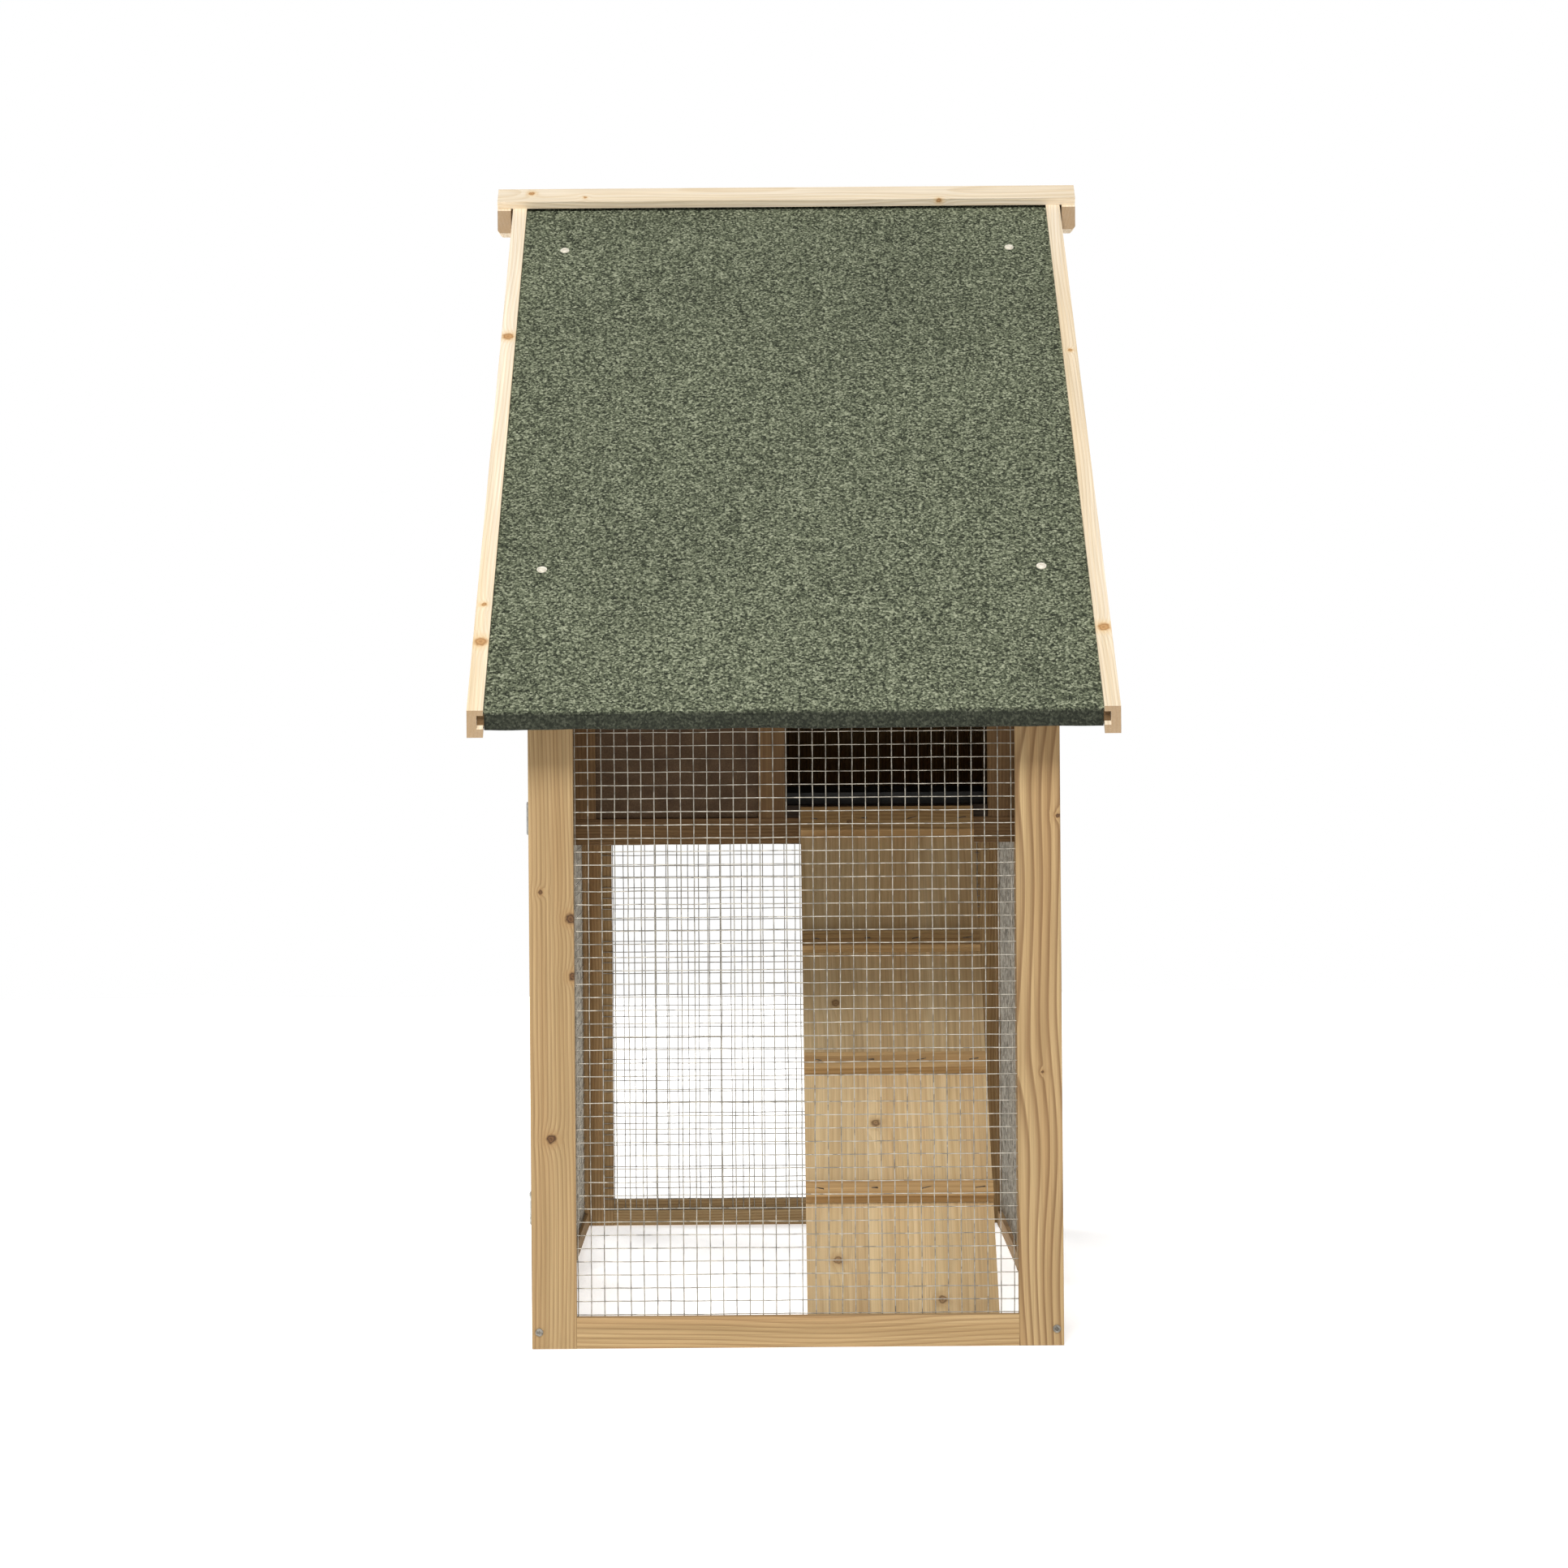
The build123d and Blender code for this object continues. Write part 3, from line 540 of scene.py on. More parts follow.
# Metals, each with a spangle or bloom that mottles its colour and gloss. A row holds the light and
# the dark colour, spangles per metre, how metallic it is, and its least and greatest roughness.
metals = {
    "galvanisedWire": ("#B3ADA0", "#7B766C", 140, 0.6, 0.45, 0.62),
    "zincPlatedSteel": ("#D9D9D6", "#A9A79E", 260, 1.0, 0.28, 0.45),
    # Painted shade: near-black steel for the tray, standing in for the shade in the house doorway
    "trayPaintedShadeSteel": ("#242524", "#171817", 60, 0.0, 0.35, 0.5),
    "palePaintedZinc": ("#EFE9DA", "#CFC8B6", 260, 0.2, 0.4, 0.55),
    "tarnishedZinc": ("#A19C92", "#6A655C", 300, 0.7, 0.4, 0.6),
    "dullStapleSteel": ("#6E665C", "#3F3932", 300, 0.8, 0.45, 0.65),
}


def metal(name):
    light, dark, scale, metallic, glossy, dull = metals[name]
    bloomDepth = 0.1 * mm
    material, tree, shader = newMaterial(name)
    place = node(tree, "ShaderNodeTexCoord").outputs["Object"]
    bloom = node(tree, "ShaderNodeTexNoise", {"Vector": place, "Scale": scale, "Detail": 4.0})
    spangle = node(tree, "ShaderNodeTexVoronoi", {"Vector": place, "Scale": scale})
    facet = node(tree, "ShaderNodeSeparateColor", {"Color": spangle.outputs["Color"]})
    tone = node(tree, "ShaderNodeMath", {0: facet, 1: 0.4, 2: bloom}, operation="MULTIPLY_ADD")
    colour = node(tree, "ShaderNodeValToRGB", {"Fac": tone}, stops=[(0.4, dark), (0.9, light)])
    roughness = node(tree, "ShaderNodeValToRGB", {"Fac": tone}, stops=[(0.4, dull), (0.9, glossy)])
    shader.inputs["Metallic"].default_value = metallic
    connect(tree, shader, colour.outputs[0], roughness, bloom, bloomDepth)
    return material


galvanisedWire = metal("galvanisedWire")
zincSteel = metal("zincPlatedSteel")
trayInPaintedShade = metal("trayPaintedShadeSteel")
paleZinc = metal("palePaintedZinc")
tarnishedZinc = metal("tarnishedZinc")
stapleSteel = metal("dullStapleSteel")
greenFelt = slateFelt()
brownHardboardPaintedShade = pressedBoard()
print("materials ready")


# Geometry node trees and the pieces they make
def newTree(name, inputs):
    tree = bpy.data.node_groups.new(name, "GeometryNodeTree")
    for label, kind in inputs.items():
        tree.interface.new_socket(label, in_out="INPUT", socket_type="NodeSocket" + kind)
    tree.interface.new_socket("Geometry", in_out="OUTPUT", socket_type="NodeSocketGeometry")
    return tree, node(tree, "NodeGroupInput").outputs


def endTree(tree, geometry, finish):
    real = node(tree, "GeometryNodeRealizeInstances", {"Geometry": geometry})
    coated = node(tree, "GeometryNodeSetMaterial", {"Geometry": real, "Material": finish})
    node(tree, "NodeGroupOutput", {"Geometry": coated})


meshPanels = {
    "pitch": 12.7 * mm,
    "wireRadius": 0.52 * mm,
    "unevenness": 1.3 * mm,
    "wavesPerMetre": 24.0,
    "wireSides": 6,
    "weld": 1.7,  # wire radii between the two layers' middles
    "facingEnds": ("run_end_mesh", "house_end_mesh"),
    "sloped": ("plain_side_run_mesh", "door_side_run_mesh"),
    "bodies": {"run_door_mesh": "run_door"},
}


# Welded mesh: upright wires, and level wires welded to their front. Where the right side is higher
# than the left, the upright wires follow the slope and the level wires start at it.
def weldedMeshTree():
    tree, given = newTree(
        "weldedMesh",
        {
            "Width": "Float",
            "Left height": "Float",
            "Right height": "Float",
            "Pitch": "Float",
            "Wire radius": "Float",
            "Unevenness": "Float",
            "Finish": "Material",
        },
    )
    width, leftHeight, pitch = given["Width"], given["Left height"], given["Pitch"]
    rise = node(
        tree, "ShaderNodeMath", {0: given["Right height"], 1: leftHeight}, operation="SUBTRACT"
    )
    place = node(
        tree, "ShaderNodeSeparateXYZ", {0: node(tree, "GeometryNodeInputPosition")}
    ).outputs
    slope = node(tree, "ShaderNodeMath", {0: rise, 1: width}, operation="DIVIDE")
    uprightHeight = node(
        tree, "ShaderNodeMath", {0: place["X"], 1: slope, 2: leftHeight}, operation="MULTIPLY_ADD"
    )
    counts = []
    for extent in (width, given["Right height"]):
        share = node(tree, "ShaderNodeMath", {0: extent, 1: pitch}, operation="DIVIDE")
        whole = node(tree, "ShaderNodeMath", {0: share}, operation="FLOOR")
        counts.append(node(tree, "ShaderNodeMath", {0: whole, 1: 1.0}, operation="ADD"))
    uprightStep = node(tree, "ShaderNodeCombineXYZ", {"X": pitch})
    uprightRow = node(tree, "GeometryNodeMeshLine", {"Count": counts[0], "Offset": uprightStep})
    uprights = node(
        tree,
        "GeometryNodeInstanceOnPoints",
        {
            "Points": uprightRow,
            "Instance": node(tree, "GeometryNodeCurvePrimitiveLine", {"End": (0, 0, 1)}),
            "Scale": node(tree, "ShaderNodeCombineXYZ", {"X": 1.0, "Y": 1.0, "Z": uprightHeight}),
        },
    )
    crossStep = node(tree, "ShaderNodeCombineXYZ", {"Z": pitch})
    crossRow = node(tree, "GeometryNodeMeshLine", {"Count": counts[1], "Offset": crossStep})
    above = node(tree, "ShaderNodeMath", {0: place["Z"], 1: leftHeight}, operation="SUBTRACT")
    cut = node(tree, "ShaderNodeMath", {0: above, 1: slope}, operation="DIVIDE")
    cut = node(tree, "ShaderNodeMath", {0: cut, 1: 0.0}, operation="MAXIMUM")
    crossLength = node(tree, "ShaderNodeMath", {0: width, 1: cut}, operation="SUBTRACT")
    kept = node(tree, "GeometryNodeCaptureAttribute", {"Geometry": crossRow})
    kept.capture_items.new("FLOAT", "length")
    tree.links.new(crossLength.outputs[0], kept.inputs["length"])
    front = node(
        tree, "ShaderNodeMath", {0: given["Wire radius"], 1: -meshPanels["weld"]}, operation="MULTIPLY"
    )
    moved = node(
        tree,
        "GeometryNodeSetPosition",
        {"Geometry": kept, "Offset": node(tree, "ShaderNodeCombineXYZ", {"X": cut, "Y": front})},
    )
    crosses = node(
        tree,
        "GeometryNodeInstanceOnPoints",
        {
            "Points": moved,
            "Instance": node(tree, "GeometryNodeCurvePrimitiveLine", {"End": (1, 0, 0)}),
            "Scale": node(
                tree, "ShaderNodeCombineXYZ", {"X": kept.outputs["length"], "Y": 1.0, "Z": 1.0}
            ),
        },
    )
    joined = node(tree, "GeometryNodeJoinGeometry")
    for row in (crosses, uprights):
        tree.links.new(row.outputs[0], joined.inputs[0])
    real = node(tree, "GeometryNodeRealizeInstances", {"Geometry": joined})
    spaced = node(tree, "GeometryNodeResampleCurve", {"Curve": real, "Length": pitch}, mode="LENGTH")
    waves = node(
        tree, "ShaderNodeTexNoise", {"Scale": meshPanels["wavesPerMetre"], "Detail": 1.0}
    ).outputs["Color"]
    centred = node(
        tree, "ShaderNodeVectorMath", {0: waves, 1: (0.5, 0.5, 0.5)}, operation="SUBTRACT"
    )
    sway = node(
        tree, "ShaderNodeVectorMath", {0: centred, "Scale": given["Unevenness"]}, operation="SCALE"
    )
    uneven = node(tree, "GeometryNodeSetPosition", {"Geometry": spaced, "Offset": sway})
    profile = node(
        tree,
        "GeometryNodeCurvePrimitiveCircle",
        {"Resolution": meshPanels["wireSides"], "Radius": given["Wire radius"]},
    )
    wires = node(
        tree,
        "GeometryNodeCurveToMesh",
        {"Curve": uneven, "Profile Curve": profile, "Fill Caps": True},
    )
    endTree(tree, node(tree, "GeometryNodeSetShadeSmooth", {"Geometry": wires}), given["Finish"])
    return tree


# Small pieces set out evenly from Start to End, each turned a little differently
def rowTree():
    tree, given = newTree(
        "piecesInARow",
        {
            "Start": "Vector",
            "End": "Vector",
            "Count": "Int",
            "Piece": "Object",
            "Turn": "Vector",
            "Looseness": "Float",
            "Finish": "Material",
        },
    )
    whole = node(
        tree, "ShaderNodeVectorMath", {0: given["End"], 1: given["Start"]}, operation="SUBTRACT"
    )
    gaps = node(tree, "ShaderNodeMath", {0: given["Count"], 1: 1.0}, operation="SUBTRACT")
    gaps = node(tree, "ShaderNodeMath", {0: gaps, 1: 1.0}, operation="MAXIMUM")
    share = node(tree, "ShaderNodeMath", {0: 1.0, 1: gaps}, operation="DIVIDE")
    offset = node(tree, "ShaderNodeVectorMath", {0: whole, "Scale": share}, operation="SCALE")
    row = node(
        tree,
        "GeometryNodeMeshLine",
        {"Count": given["Count"], "Start Location": given["Start"], "Offset": offset},
    )
    loose = node(
        tree,
        "FunctionNodeRandomValue",
        {0: (-1, -1, -1), 1: (1, 1, 1), "Seed": 5},
        data_type="FLOAT_VECTOR",
    )
    wobble = node(
        tree, "ShaderNodeVectorMath", {0: loose, "Scale": given["Looseness"]}, operation="SCALE"
    )
    turned = node(tree, "ShaderNodeVectorMath", {0: given["Turn"], 1: wobble}, operation="ADD")
    piece = node(tree, "GeometryNodeObjectInfo", {"Object": given["Piece"]}).outputs["Geometry"]
    placed = node(
        tree, "GeometryNodeInstanceOnPoints", {"Points": row, "Instance": piece, "Rotation": turned}
    )
    endTree(tree, placed, given["Finish"])
    return tree


def addObject(name, mesh):
    made = bpy.data.objects.new(name, mesh)
    bpy.context.scene.collection.objects.link(made)
    return made


def finishedMesh(holder, name):
    graph = bpy.context.evaluated_depsgraph_get()
    mesh = bpy.data.meshes.new_from_object(holder.evaluated_get(graph))
    bpy.data.objects.remove(holder)
    mesh.name = name
    return mesh


def grow(tree, name, values):
    holder = addObject(name + "Seed", bpy.data.meshes.new(name + "Seed"))
    modifier = holder.modifiers.new("grow", "NODES")
    modifier.node_group = tree
    for item in tree.interface.items_tree:
        if item.item_type == "SOCKET" and item.in_out == "INPUT":
            modifier[item.identifier] = values[item.name]
    return finishedMesh(holder, name)


def joinMeshes(name, meshes, material):
    whole = bmesh.new()
    for mesh in meshes:
        whole.from_mesh(mesh)
        bpy.data.meshes.remove(mesh)
    joined = bpy.data.meshes.new(name)
    whole.to_mesh(joined)
    whole.free()
    joined.materials.append(material)
    return addObject(name, joined)


def weldedPanel(tree, nodeName):
    low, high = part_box(nodeName)
    isEnd = nodeName in meshPanels["facingEnds"]
    across = Vector((1, 0, 0)) if isEnd else Vector((0, 1, 0))
    up = Vector((0, 0, 1))
    width = (high - low).dot(across)
    tall = high.z - low.z
    short = tall
    if nodeName in meshPanels["sloped"]:
        short = tall - width * math.tan(roofPitch)
    mesh = grow(
        tree,
        nodeName + "Wires",
        {
            "Width": width,
            "Left height": short,
            "Right height": tall,
            "Pitch": meshPanels["pitch"],
            "Wire radius": meshPanels["wireRadius"],
            "Unevenness": meshPanels["unevenness"],
            "Finish": galvanisedWire,
        },
    )
    corner = (low + high) / 2
    corner = Vector((low.x if isEnd else corner.x, corner.y if isEnd else low.y, low.z))
    turn = Matrix((across, up.cross(across), up)).transposed().to_4x4()
    mesh.transform(Matrix.Translation(corner) @ turn)
    panel = addObject(nodeName.replace("_mesh", "_wires"), mesh)
    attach(panel, meshPanels["bodies"].get(nodeName, "hutch"))
    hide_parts(nodeName)


meshTree = weldedMeshTree()
for nodeName in sorted(nodes):
    if nodeName.endswith("_mesh"):
        weldedPanel(meshTree, nodeName)
print("welded mesh ready")


# Each felt runs from the ridge down the roof board, round its edge and back under it, with a loose
# wavy fold. Its top lies in the slots of the trims, and the fold is cut narrower to clear them.
feltSheets = {
    "thickness": 1.6 * mm,
    "lip": 16.0 * mm,  # how far the fold hangs below the felt's top
    "topFold": 3.0 * mm,
    "lowFold": 3.0 * mm,
    "under": 19.0 * mm,
    "turnUnder": 137,  # degrees
    "notch": 6.8 * mm,
    "columns": 110,
    "topRows": 60,
    "bendRows": 8,
    "plumbRows": 4,
    "turnRows": 14,
    "underRows": 5,
    "bendShade": 0.35,  # how much painted shade the first of the bend takes
    "topWave": 0.35 * mm,
    "topWavesPerMetre": 9,
    "edgeFade": 12,
    "foldWave": 1.5 * mm,
    "foldWavesPerMetre": 13,
    "crinklesPerMetre": 31,
}


def feltPath(length, top):
    # Distance out from the ridge and height of the sheet's middle, and how much painted shade it takes,
    # from 0 to 1
    half = feltSheets["thickness"] / 2
    bend, fold = feltSheets["topFold"], feltSheets["lowFold"]
    drop = half / math.cos(roofPitch)
    out = length - half - bend * (1 - math.sin(roofPitch))
    rows = feltSheets["topRows"]
    path = []
    for i in range(rows + 1):
        reach = out * i / rows
        path.append((reach, top - drop - reach * math.tan(roofPitch), 0.0))
    place = Vector(path[-1][:2])
    angle = -roofPitch
    rows = feltSheets["bendRows"]
    for i in range(rows):
        turn = (math.pi / 2 - roofPitch) / rows
        angle -= turn
        middle = angle + turn / 2
        place += bend * turn * Vector((math.cos(middle), math.sin(middle)))
        shade = feltSheets["bendShade"]
        path.append((*place, shade + (1 - shade) * (i + 1) / rows))
    bottom = top - length * math.tan(roofPitch) - feltSheets["lip"] + half
    plumb = place.y - bottom - fold
    rows = feltSheets["plumbRows"]
    for i in range(rows):
        place.y -= plumb / rows
        path.append((*place, 1.0))
    rows = feltSheets["turnRows"]
    for i in range(rows):
        turn = math.radians(feltSheets["turnUnder"]) / rows
        angle -= turn
        middle = angle + turn / 2
        place += fold * turn * Vector((math.cos(middle), math.sin(middle)))
        path.append((*place, 1.0))
    rows = feltSheets["underRows"]
    for i in range(rows):
        place += feltSheets["under"] / rows * Vector((math.cos(angle), math.sin(angle)))
        path.append((*place, 1.0))
    return path


def feltSheet(nodeName, eaveWay):
    low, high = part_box(nodeName)
    length = high.y - ridgeY if eaveWay > 0 else ridgeY - low.y
    path = feltPath(length, high.z)
    columns = feltSheets["columns"]
    slow, quick = feltSheets["foldWavesPerMetre"], feltSheets["crinklesPerMetre"]
    perMetre = feltSheets["topWavesPerMetre"]
    points, folds = [], []
    for out, height, folded in path:
        halfWidth = high.x - (feltSheets["notch"] if folded else 0)
        for j in range(columns + 1):
            across = 2 * j / columns - 1
            x = across * halfWidth
            lift, hang, inward = 0, 0, 0
            if not folded:
                edge = min(1.0, (1 - abs(across)) * feltSheets["edgeFade"])
                wave = noise.noise(Vector((x * perMetre, out * perMetre, 3.0 * eaveWay)))
                lift = abs(wave) * feltSheets["topWave"] * edge
            if folded == 1:
                loose = noise.noise(Vector((x * slow, 5.0, 7.0 * eaveWay)))
                loose += 0.5 * noise.noise(Vector((x * quick, 2.0, 0)))
                hang = loose * feltSheets["foldWave"]
                inward = abs(loose) * 0.5 * feltSheets["foldWave"]
            points.append((x, ridgeY + eaveWay * (out - inward), height + lift + hang))
            folds.append(folded)
    faces = []
    for i in range(len(path) - 1):
        for j in range(columns):
            first = i * (columns + 1) + j
            corners = (first, first + 1, first + columns + 2, first + columns + 1)
            faces.append(corners if eaveWay > 0 else corners[::-1])
    mesh = bpy.data.meshes.new(nodeName)
    mesh.from_pydata(points, [], faces)
    mesh.attributes.new("fold", "FLOAT", "POINT").data.foreach_set("value", folds)
    mesh.polygons.foreach_set("use_smooth", [True] * len(faces))
    mesh.materials.append(greenFelt)
    holder = addObject(nodeName + "Sheet", mesh)
    wall = holder.modifiers.new("thickness", "SOLIDIFY")
    wall.thickness = feltSheets["thickness"]
    wall.offset = 0
    sheet = addObject(nodeName + "_sheet", finishedMesh(holder, nodeName + "_sheet"))
    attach(sheet, "hutch")
    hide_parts(nodeName)


feltSheet("felt_long", -1)
feltSheet("felt_short", 1)
print("felt ready")

# Woods: which way the grain runs, its look, how many sticks or boards lie along an axis, and the
# knots that stand out, each with its centre and radius in millimetres
firstSeed = 11
single = (0, 1)
leftKnots = [((-215, -441, 412), 5.0), ((-213, -441, 357), 4.2)]
leftKnots += [((-235, -441, 201), 4.6), ((-244, -441, 438), 2.2)]
rightKnots = [((253, -441, 508), 2.2), ((236, -441, 262), 1.4)]
trimKnots = [((-302, 24, 1015), 6.0), ((-302, -358, 716), 2.8), ((-302, -406, 679), 6.5)]
trimKnots += [((302, -4, 993), 2.4), ((302, -393, 689), 6.0)]
rampKnots = [((43, -141, 306), 4.4), ((81, -246, 193), 4.4), ((40, -359, 71), 4.6), ((141, -391, 37), 4.6)]
ridgeKnots = [((-289, 243, 1198), 3.5), ((-228, 236, 1192), 2.0), ((173, 229, 1184), 3.5)]
woodPieces = {
    "run_end_stile_left": ("z", honeyPine, single, leftKnots),
    "run_end_stile_right": ("z", figuredPine, single, rightKnots),
    "run_end_bottom_rail": ("x", honeyPine, single, []),
    "run_end_top_rail": ("x", honeyPine, single, []),
    "house_end_stiles": ("z", honeyPine, (0, 2), []),
    "house_end_rails": ("x", honeyPine, (2, 3), []),
    "house_end_boards": ("z", honeyPine, (0, 5), []),
    "plain_side_posts": ("z", honeyPine, (1, 3), []),
    "plain_side_rails": ("y", honeyPine, (2, 4), []),
    "plain_side_rake_rails": ("long", honeyPine, single, []),
    "plain_side_boards": ("z", honeyPine, (1, 4), []),
    "door_side_posts": ("z", honeyPine, (1, 3), []),
    "door_side_rails": ("y", honeyPine, (2, 4), []),
    "door_side_rake_rails": ("long", honeyPine, single, []),
    "door_side_gable_boards": ("z", honeyPine, (1, 4), []),
    "run_door_stiles": ("z", honeyPine, (1, 2), []),
    "run_door_rails": ("y", honeyPine, (2, 2), []),
    "house_door_boards": ("z", honeyPine, (1, 4), []),
    "house_door_ledges": ("y", honeyPine, (2, 2), []),
    "wall_stiles": ("z", innerPinePaintedShade, (0, 2), []),
    "wall_divider": ("z", innerPinePaintedShade, single, []),
    "wall_rails": ("x", innerPinePaintedShade, (2, 2), []),
    "house_floor": ("x", houseInsidePaintedShade, (1, 4), []),
    "floor_runners": ("y", innerPinePaintedShade, (0, 2), []),
    "tray_front": ("y", honeyPine, single, []),
    "ramp_board": ("ramp", rampPine, (0, 3), rampKnots),
    "ramp_cleats": ("x", cleatPinePaintedShade, (1, 3), []),
    "ramp_top_cleat": ("x", cleatPinePaintedShade, single, [((62, 12, 489), 3.0)]),
    "roof_board_long": ("x", innerPinePaintedShade, (1, 8), []),
    "roof_board_short": ("x", innerPinePaintedShade, (1, 3), []),
    "roof_trims_long": ("long", creamPine, (0, 2), trimKnots),
    "roof_trims_short": ("short", creamPine, (0, 2), []),
    "ridge_board_long": ("x", creamPine, single, ridgeKnots),
    "ridge_board_short": ("x", creamPine, single, []),
    "ridge_end_blocks": ("y", creamPine, (0, 2), []),
}


def coat(nodeName, material):
    piece = nodes[nodeName]
    piece.data.materials.clear()
    piece.data.materials.append(material)


for seed, nodeName in enumerate(woodPieces, firstSeed):
    grain, look, split, knots = woodPieces[nodeName]
    coat(nodeName, pine("pine_" + nodeName, look, grain, knots, seed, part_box(nodeName), split))
for nodeName in nodes:
    if "hinge" in nodeName or "latch" in nodeName:
        coat(nodeName, zincSteel)
coat("roof_screws", paleZinc)
coat("frame_screws", tarnishedZinc)
# Painted shade: the tray is near black to match the shade inside the doorway
coat("tray_pan", trayInPaintedShade)
# The wall panels take the hardboard, darkened as painted shade under the roof
coat("wall_panel", brownHardboardPaintedShade)
coat("wall_top_panel", brownHardboardPaintedShade)
print("CAD pieces coated")


def rowsOf(pieceName, body, shape, rows, finish):
    # Rows are start, end, count, turn in degrees and looseness in radians, all made one piece
    meshes = []
    for start, end, count, turn, looseness in rows:
        values = {
            "Start": start,
            "End": end,
            "Count": count,
            "Piece": shape,
            "Turn": [math.radians(a) for a in turn],
            "Looseness": looseness,
            "Finish": finish,
        }
        meshes.append(grow(rowOfPieces, pieceName + "Row", values))
    piece = joinMeshes(pieceName, meshes, finish)
    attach(piece, body)


rowOfPieces = rowTree()

# Staples through the cleats: wire bent to a flat crown with two legs in the wood
cleatStaples = {
    "crown": 9.0 * mm,
    "leg": 2.0 * mm,
    "wire": 0.6 * mm,
    "inset": 13.0 * mm,
    "fromEdge": 10.0 * mm,
    "count": 4,
    "loose": 0.3,
}


def stapleShape():
    curve = bpy.data.curves.new("staple", "CURVE")
    curve.dimensions = "3D"
    curve.bevel_depth = cleatStaples["wire"]
    curve.bevel_resolution = 1
    curve.use_fill_caps = True
    line = curve.splines.new("POLY")
    half = cleatStaples["crown"] / 2
    low = -cleatStaples["leg"]
    points = [(-half, 0, low), (-half, 0, 0), (half, 0, 0), (half, 0, low)]
    line.points.add(len(points) - 1)
    for point, place in zip(line.points, points):
        point.co = (*place, 1)
    return addObject("stapleShape", finishedMesh(addObject("staple", curve), "staple"))


# The cleats' outer faces are found by turning their corners level with the ramp
def cleatRows(nodeName, count):
    level = Matrix.Rotation(-rampAngle, 3, "X")
    flat = [level @ corner.co for corner in nodes[nodeName].data.vertices]
    face = max(corner.z for corner in flat)
    sameFace = 0.5 * mm
    alongs = [corner.y for corner in flat if corner.z > face - sameFace]
    inset = (max(alongs) - min(alongs)) / 2 if count == 1 else cleatStaples["fromEdge"]
    first = min(alongs) + inset
    last = max(alongs) - inset
    turn = (math.degrees(rampAngle), 0, 0)
    rows = []
    for i in range(count):
        along = first + (last - first) * i / max(1, count - 1)
        ends = []
        for x in (rampLow.x + cleatStaples["inset"], rampHigh.x - cleatStaples["inset"]):
            ends.append(level.inverted() @ Vector((x, along, face)))
        rows.append((*ends, cleatStaples["count"], turn, cleatStaples["loose"]))
    return rows


rampAngle = math.radians(90 - grainTurn["ramp"][0])
rampLow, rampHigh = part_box("ramp_board")
oneStaple = stapleShape()
stapleRows = cleatRows("ramp_cleats", 3) + cleatRows("ramp_top_cleat", 1)
rowsOf("cleat_staples", "hutch", oneStaple, stapleRows, stapleSteel)
bpy.data.objects.remove(oneStaple)

# Pan-head screws that hold the hinges and latches, with a recess in the middle of the head
fittingScrews = {
    "leafHeight": 30.0,
    "leafThickness": 1.0,
    "plateThickness": 1.2,
    "knuckleRadius": 2.5,
    "headRadius": 2.5,
    "headHeight": 1.0,
    "sides": 14,
    "hingeFromAxis": 10.5,
    "hingeFromEnd": 7.0,
    "plateInset": 4.0,
    "plateReach": 10.5,
    "keeperFromPlate": 15.0,
}


def screwHead():
    radius, height, sides = (fittingScrews[k] for k in ("headRadius", "headHeight", "sides"))
    outline = [(radius, -0.4), (radius, 0.25 * height), (0.8 * radius, 0.75 * height)]
    outline += [(0.42 * radius, height), (0.3 * radius, 0.35 * height), (0.1 * radius, 0.3 * height)]
    points, faces = [], []
    for out, up in outline:
        for k in range(sides):
            a = 2 * math.pi * k / sides
            points.append((out * math.cos(a) * mm, out * math.sin(a) * mm, up * mm))
    for i in range(len(outline) - 1):
        for k in range(sides):
            n = (k + 1) % sides
            faces.append((i * sides + k, i * sides + n, (i + 1) * sides + n, (i + 1) * sides + k))
    faces.append(tuple(range(sides))[::-1])
    faces.append(tuple(range(len(points) - sides, len(points))))
    mesh = bpy.data.meshes.new("screwHead")
    mesh.from_pydata(points, [], faces)
    return addObject("screwHead", mesh)


def fittingRows(doorLeaves, barrel, way):
    # way is 1 where the door reaches from its hinges toward +Y
    low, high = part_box(doorLeaves)
    plateLow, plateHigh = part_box(barrel)
    axisY = (low.y if way > 0 else high.y) + way * fittingScrews["knuckleRadius"] * mm
    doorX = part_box("run_door_stiles")[0].x
    leafX = doorX - fittingScrews["leafThickness"] * mm
    plateX = doorX - fittingScrews["plateThickness"] * mm
    tall = fittingScrews["leafHeight"] * mm
    end = fittingScrews["hingeFromEnd"] * mm
    facing = (0, -90, 0)
    onDoor, onPost = [], []
    for bottom, top in ((low.z, low.z + tall), (high.z - tall, high.z)):
        for rows, side in ((onDoor, way), (onPost, -way)):
            y = axisY + side * fittingScrews["hingeFromAxis"] * mm
            rows.append(((leafX, y, bottom + end), (leafX, y, top - end), 2, facing, 0.0))
    middle = (plateLow.z + plateHigh.z) / 2
    reach = fittingScrews["plateReach"] * mm
    inset = fittingScrews["plateInset"] * mm
    for z in (middle - reach, middle + reach):
        ends = ((plateX, plateLow.y + inset, z), (plateX, plateHigh.y - inset, z))
        onDoor.append((*ends, 2, facing, 0.0))
    keeperY = (plateHigh.y if way > 0 else plateLow.y) + way * fittingScrews["keeperFromPlate"] * mm
    ends = [(plateX, keeperY, middle + side * reach) for side in (-1, 1)]
    onPost.append((*ends, 2, facing, 0.0))
    return onDoor, onPost


oneHead = screwHead()
runDoorRows, runPostRows = fittingRows("run_hinge_door_leaves", "run_latch_barrel", 1)
houseDoorRows, housePostRows = fittingRows("house_hinge_door_leaves", "house_latch_barrel", -1)
rowsOf("run_door_fitting_screws", "run_door", oneHead, runDoorRows, zincSteel)
rowsOf("house_door_fitting_screws", "house_door", oneHead, houseDoorRows, zincSteel)
rowsOf("post_fitting_screws", "hutch", oneHead, runPostRows + housePostRows, zincSteel)
bpy.data.objects.remove(oneHead)
print("staples and fitting screws ready")


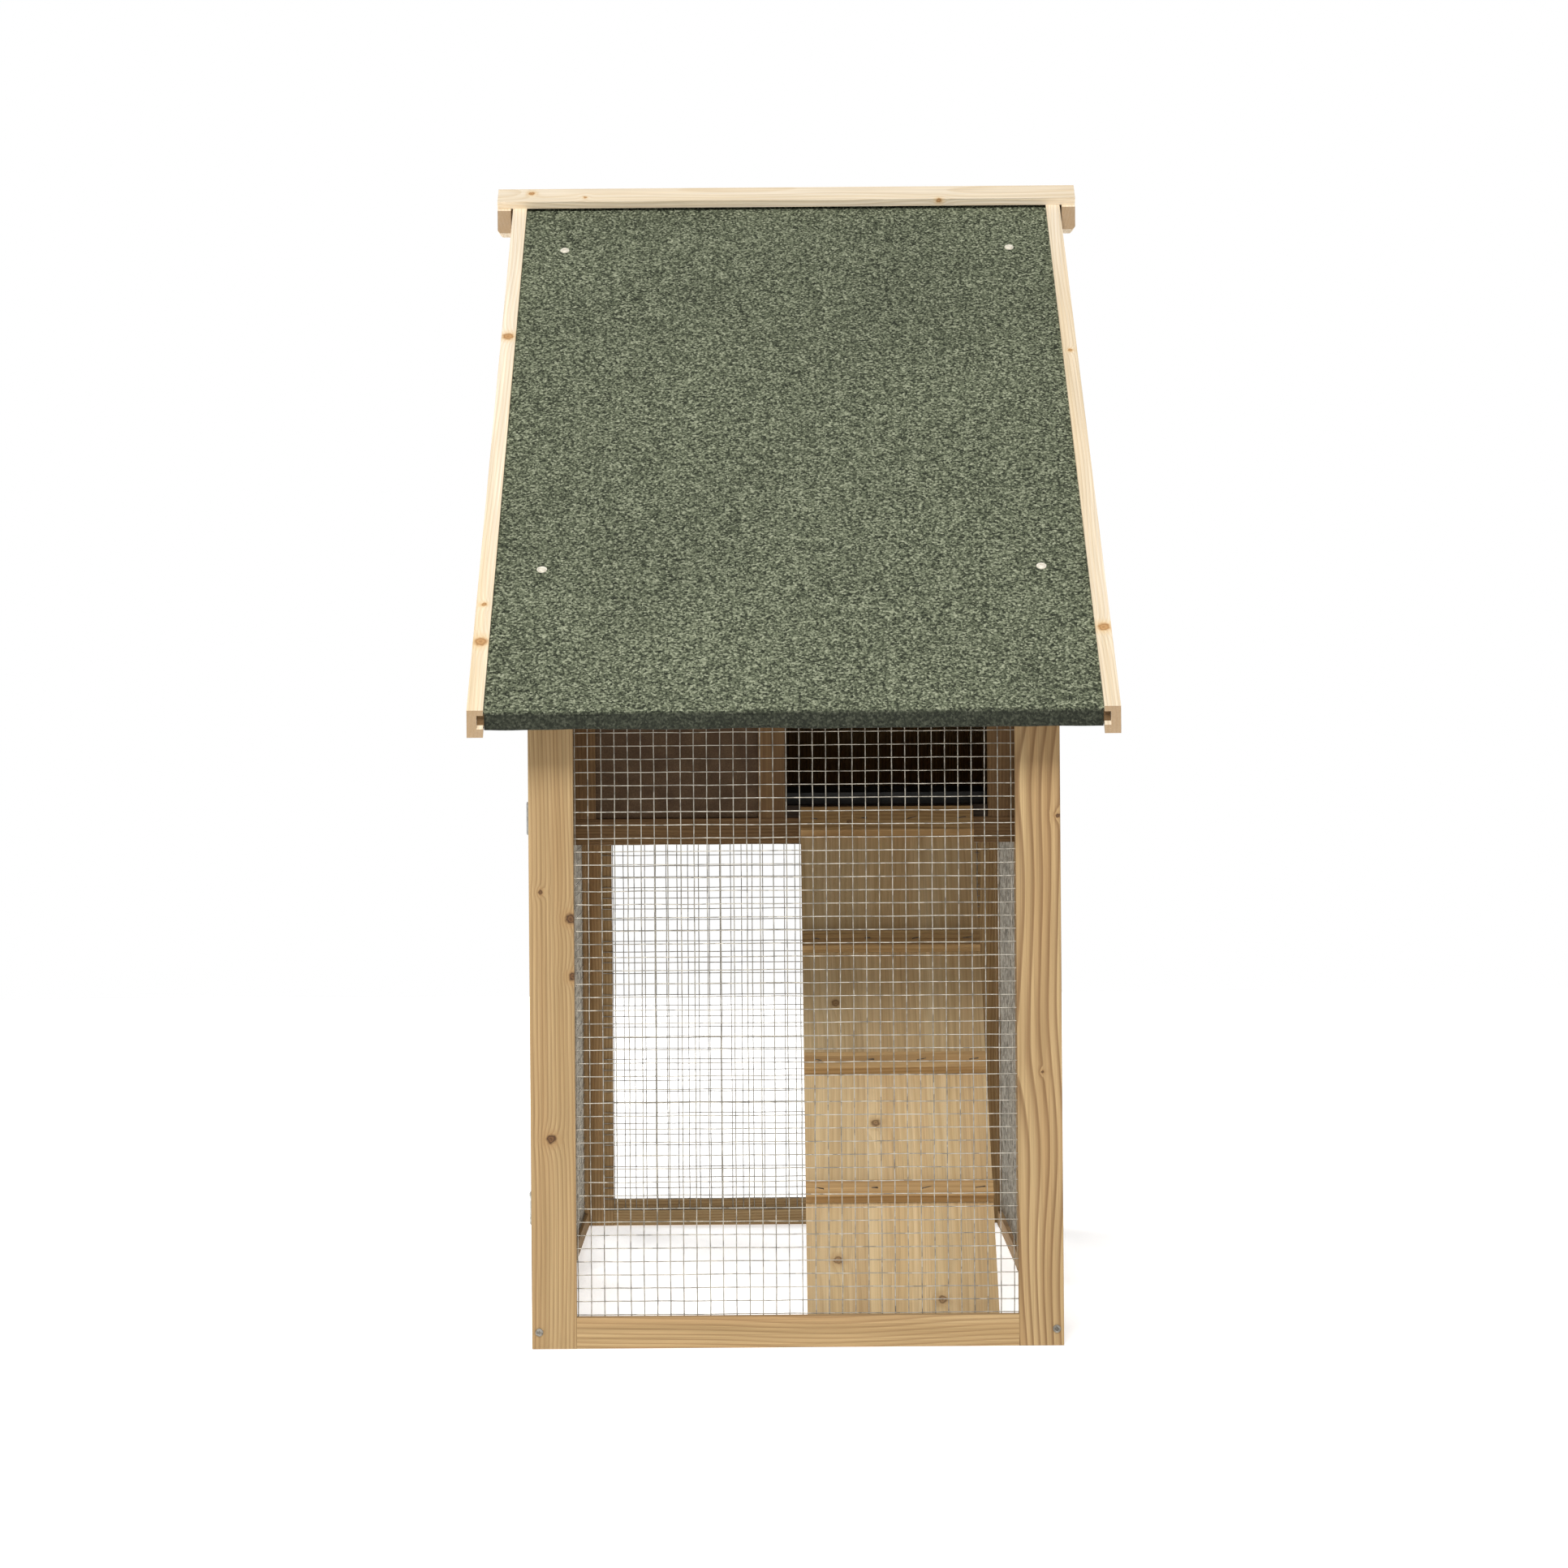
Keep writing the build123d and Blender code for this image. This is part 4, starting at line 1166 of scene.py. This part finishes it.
# Floor, light and camera
def paperFloor():
    material, tree, shader = newMaterial("paperBackdrop")
    shader.inputs["Base Color"].default_value = toLinear(stage["floorColour"])
    shader.inputs["Emission Color"].default_value = toLinear(stage["floorColour"])
    shader.inputs["Emission Strength"].default_value = stage["floorGlow"]
    shader.inputs["Roughness"].default_value = 0.95
    shader.inputs["Specular IOR Level"].default_value = 0.1
    return material


half = stage["floorSize"] / 2
floorMesh = bpy.data.meshes.new("floor")
corners = [(x * half, y * half, -stage["floorDrop"]) for x, y in ((-1, -1), (1, -1), (1, 1), (-1, 1))]
floorMesh.from_pydata(corners, [], [(0, 1, 2, 3)])
floorMesh.materials.append(paperFloor())
addObject("floor", floorMesh)

# The camera sees a white studio, which lights the hutch less than it shows
world = bpy.data.worlds.new("studio")
bpy.context.scene.world = world
world.use_nodes = True
sky = world.node_tree
sky.nodes.clear()
isSeen = node(sky, "ShaderNodeLightPath").outputs["Is Camera Ray"]
extra = stage["worldSeen"] - stage["worldLight"]
lit = node(sky, "ShaderNodeMath", {0: isSeen, 1: extra}, operation="MULTIPLY")
strength = node(sky, "ShaderNodeMath", {0: lit, 1: stage["worldLight"]}, operation="ADD")
glow = node(sky, "ShaderNodeBackground", {"Color": toLinear(stage["worldColour"]), "Strength": strength})
node(sky, "ShaderNodeOutputWorld", {"Surface": glow})

for name in ("key", "fill", "back"):
    light = bpy.data.lights.new(name, "AREA")
    light.size = stage[name]["size"]
    light.energy = stage[name]["power"]
    lamp = addObject(name, light)
    lamp.location = stage[name]["place"]
    towards = Vector(stage["lightTarget"]) - lamp.location
    lamp.rotation_euler = towards.to_track_quat("-Z", "Y").to_euler()

lens = bpy.data.cameras.new("camera")
lens.lens = view["lens"]
lens.sensor_width = view["sensor"]
lens.shift_x = view["shiftX"]
lens.shift_y = view["shiftY"]
lens.clip_end = view["farthest"]
camera = addObject("camera", lens)
camera.location = view["place"]
camera.rotation_euler = (math.radians(90), math.radians(view["roll"]), 0)
bpy.context.scene.camera = camera
bpy.context.scene.view_settings.view_transform = "Standard"
print("stage ready")
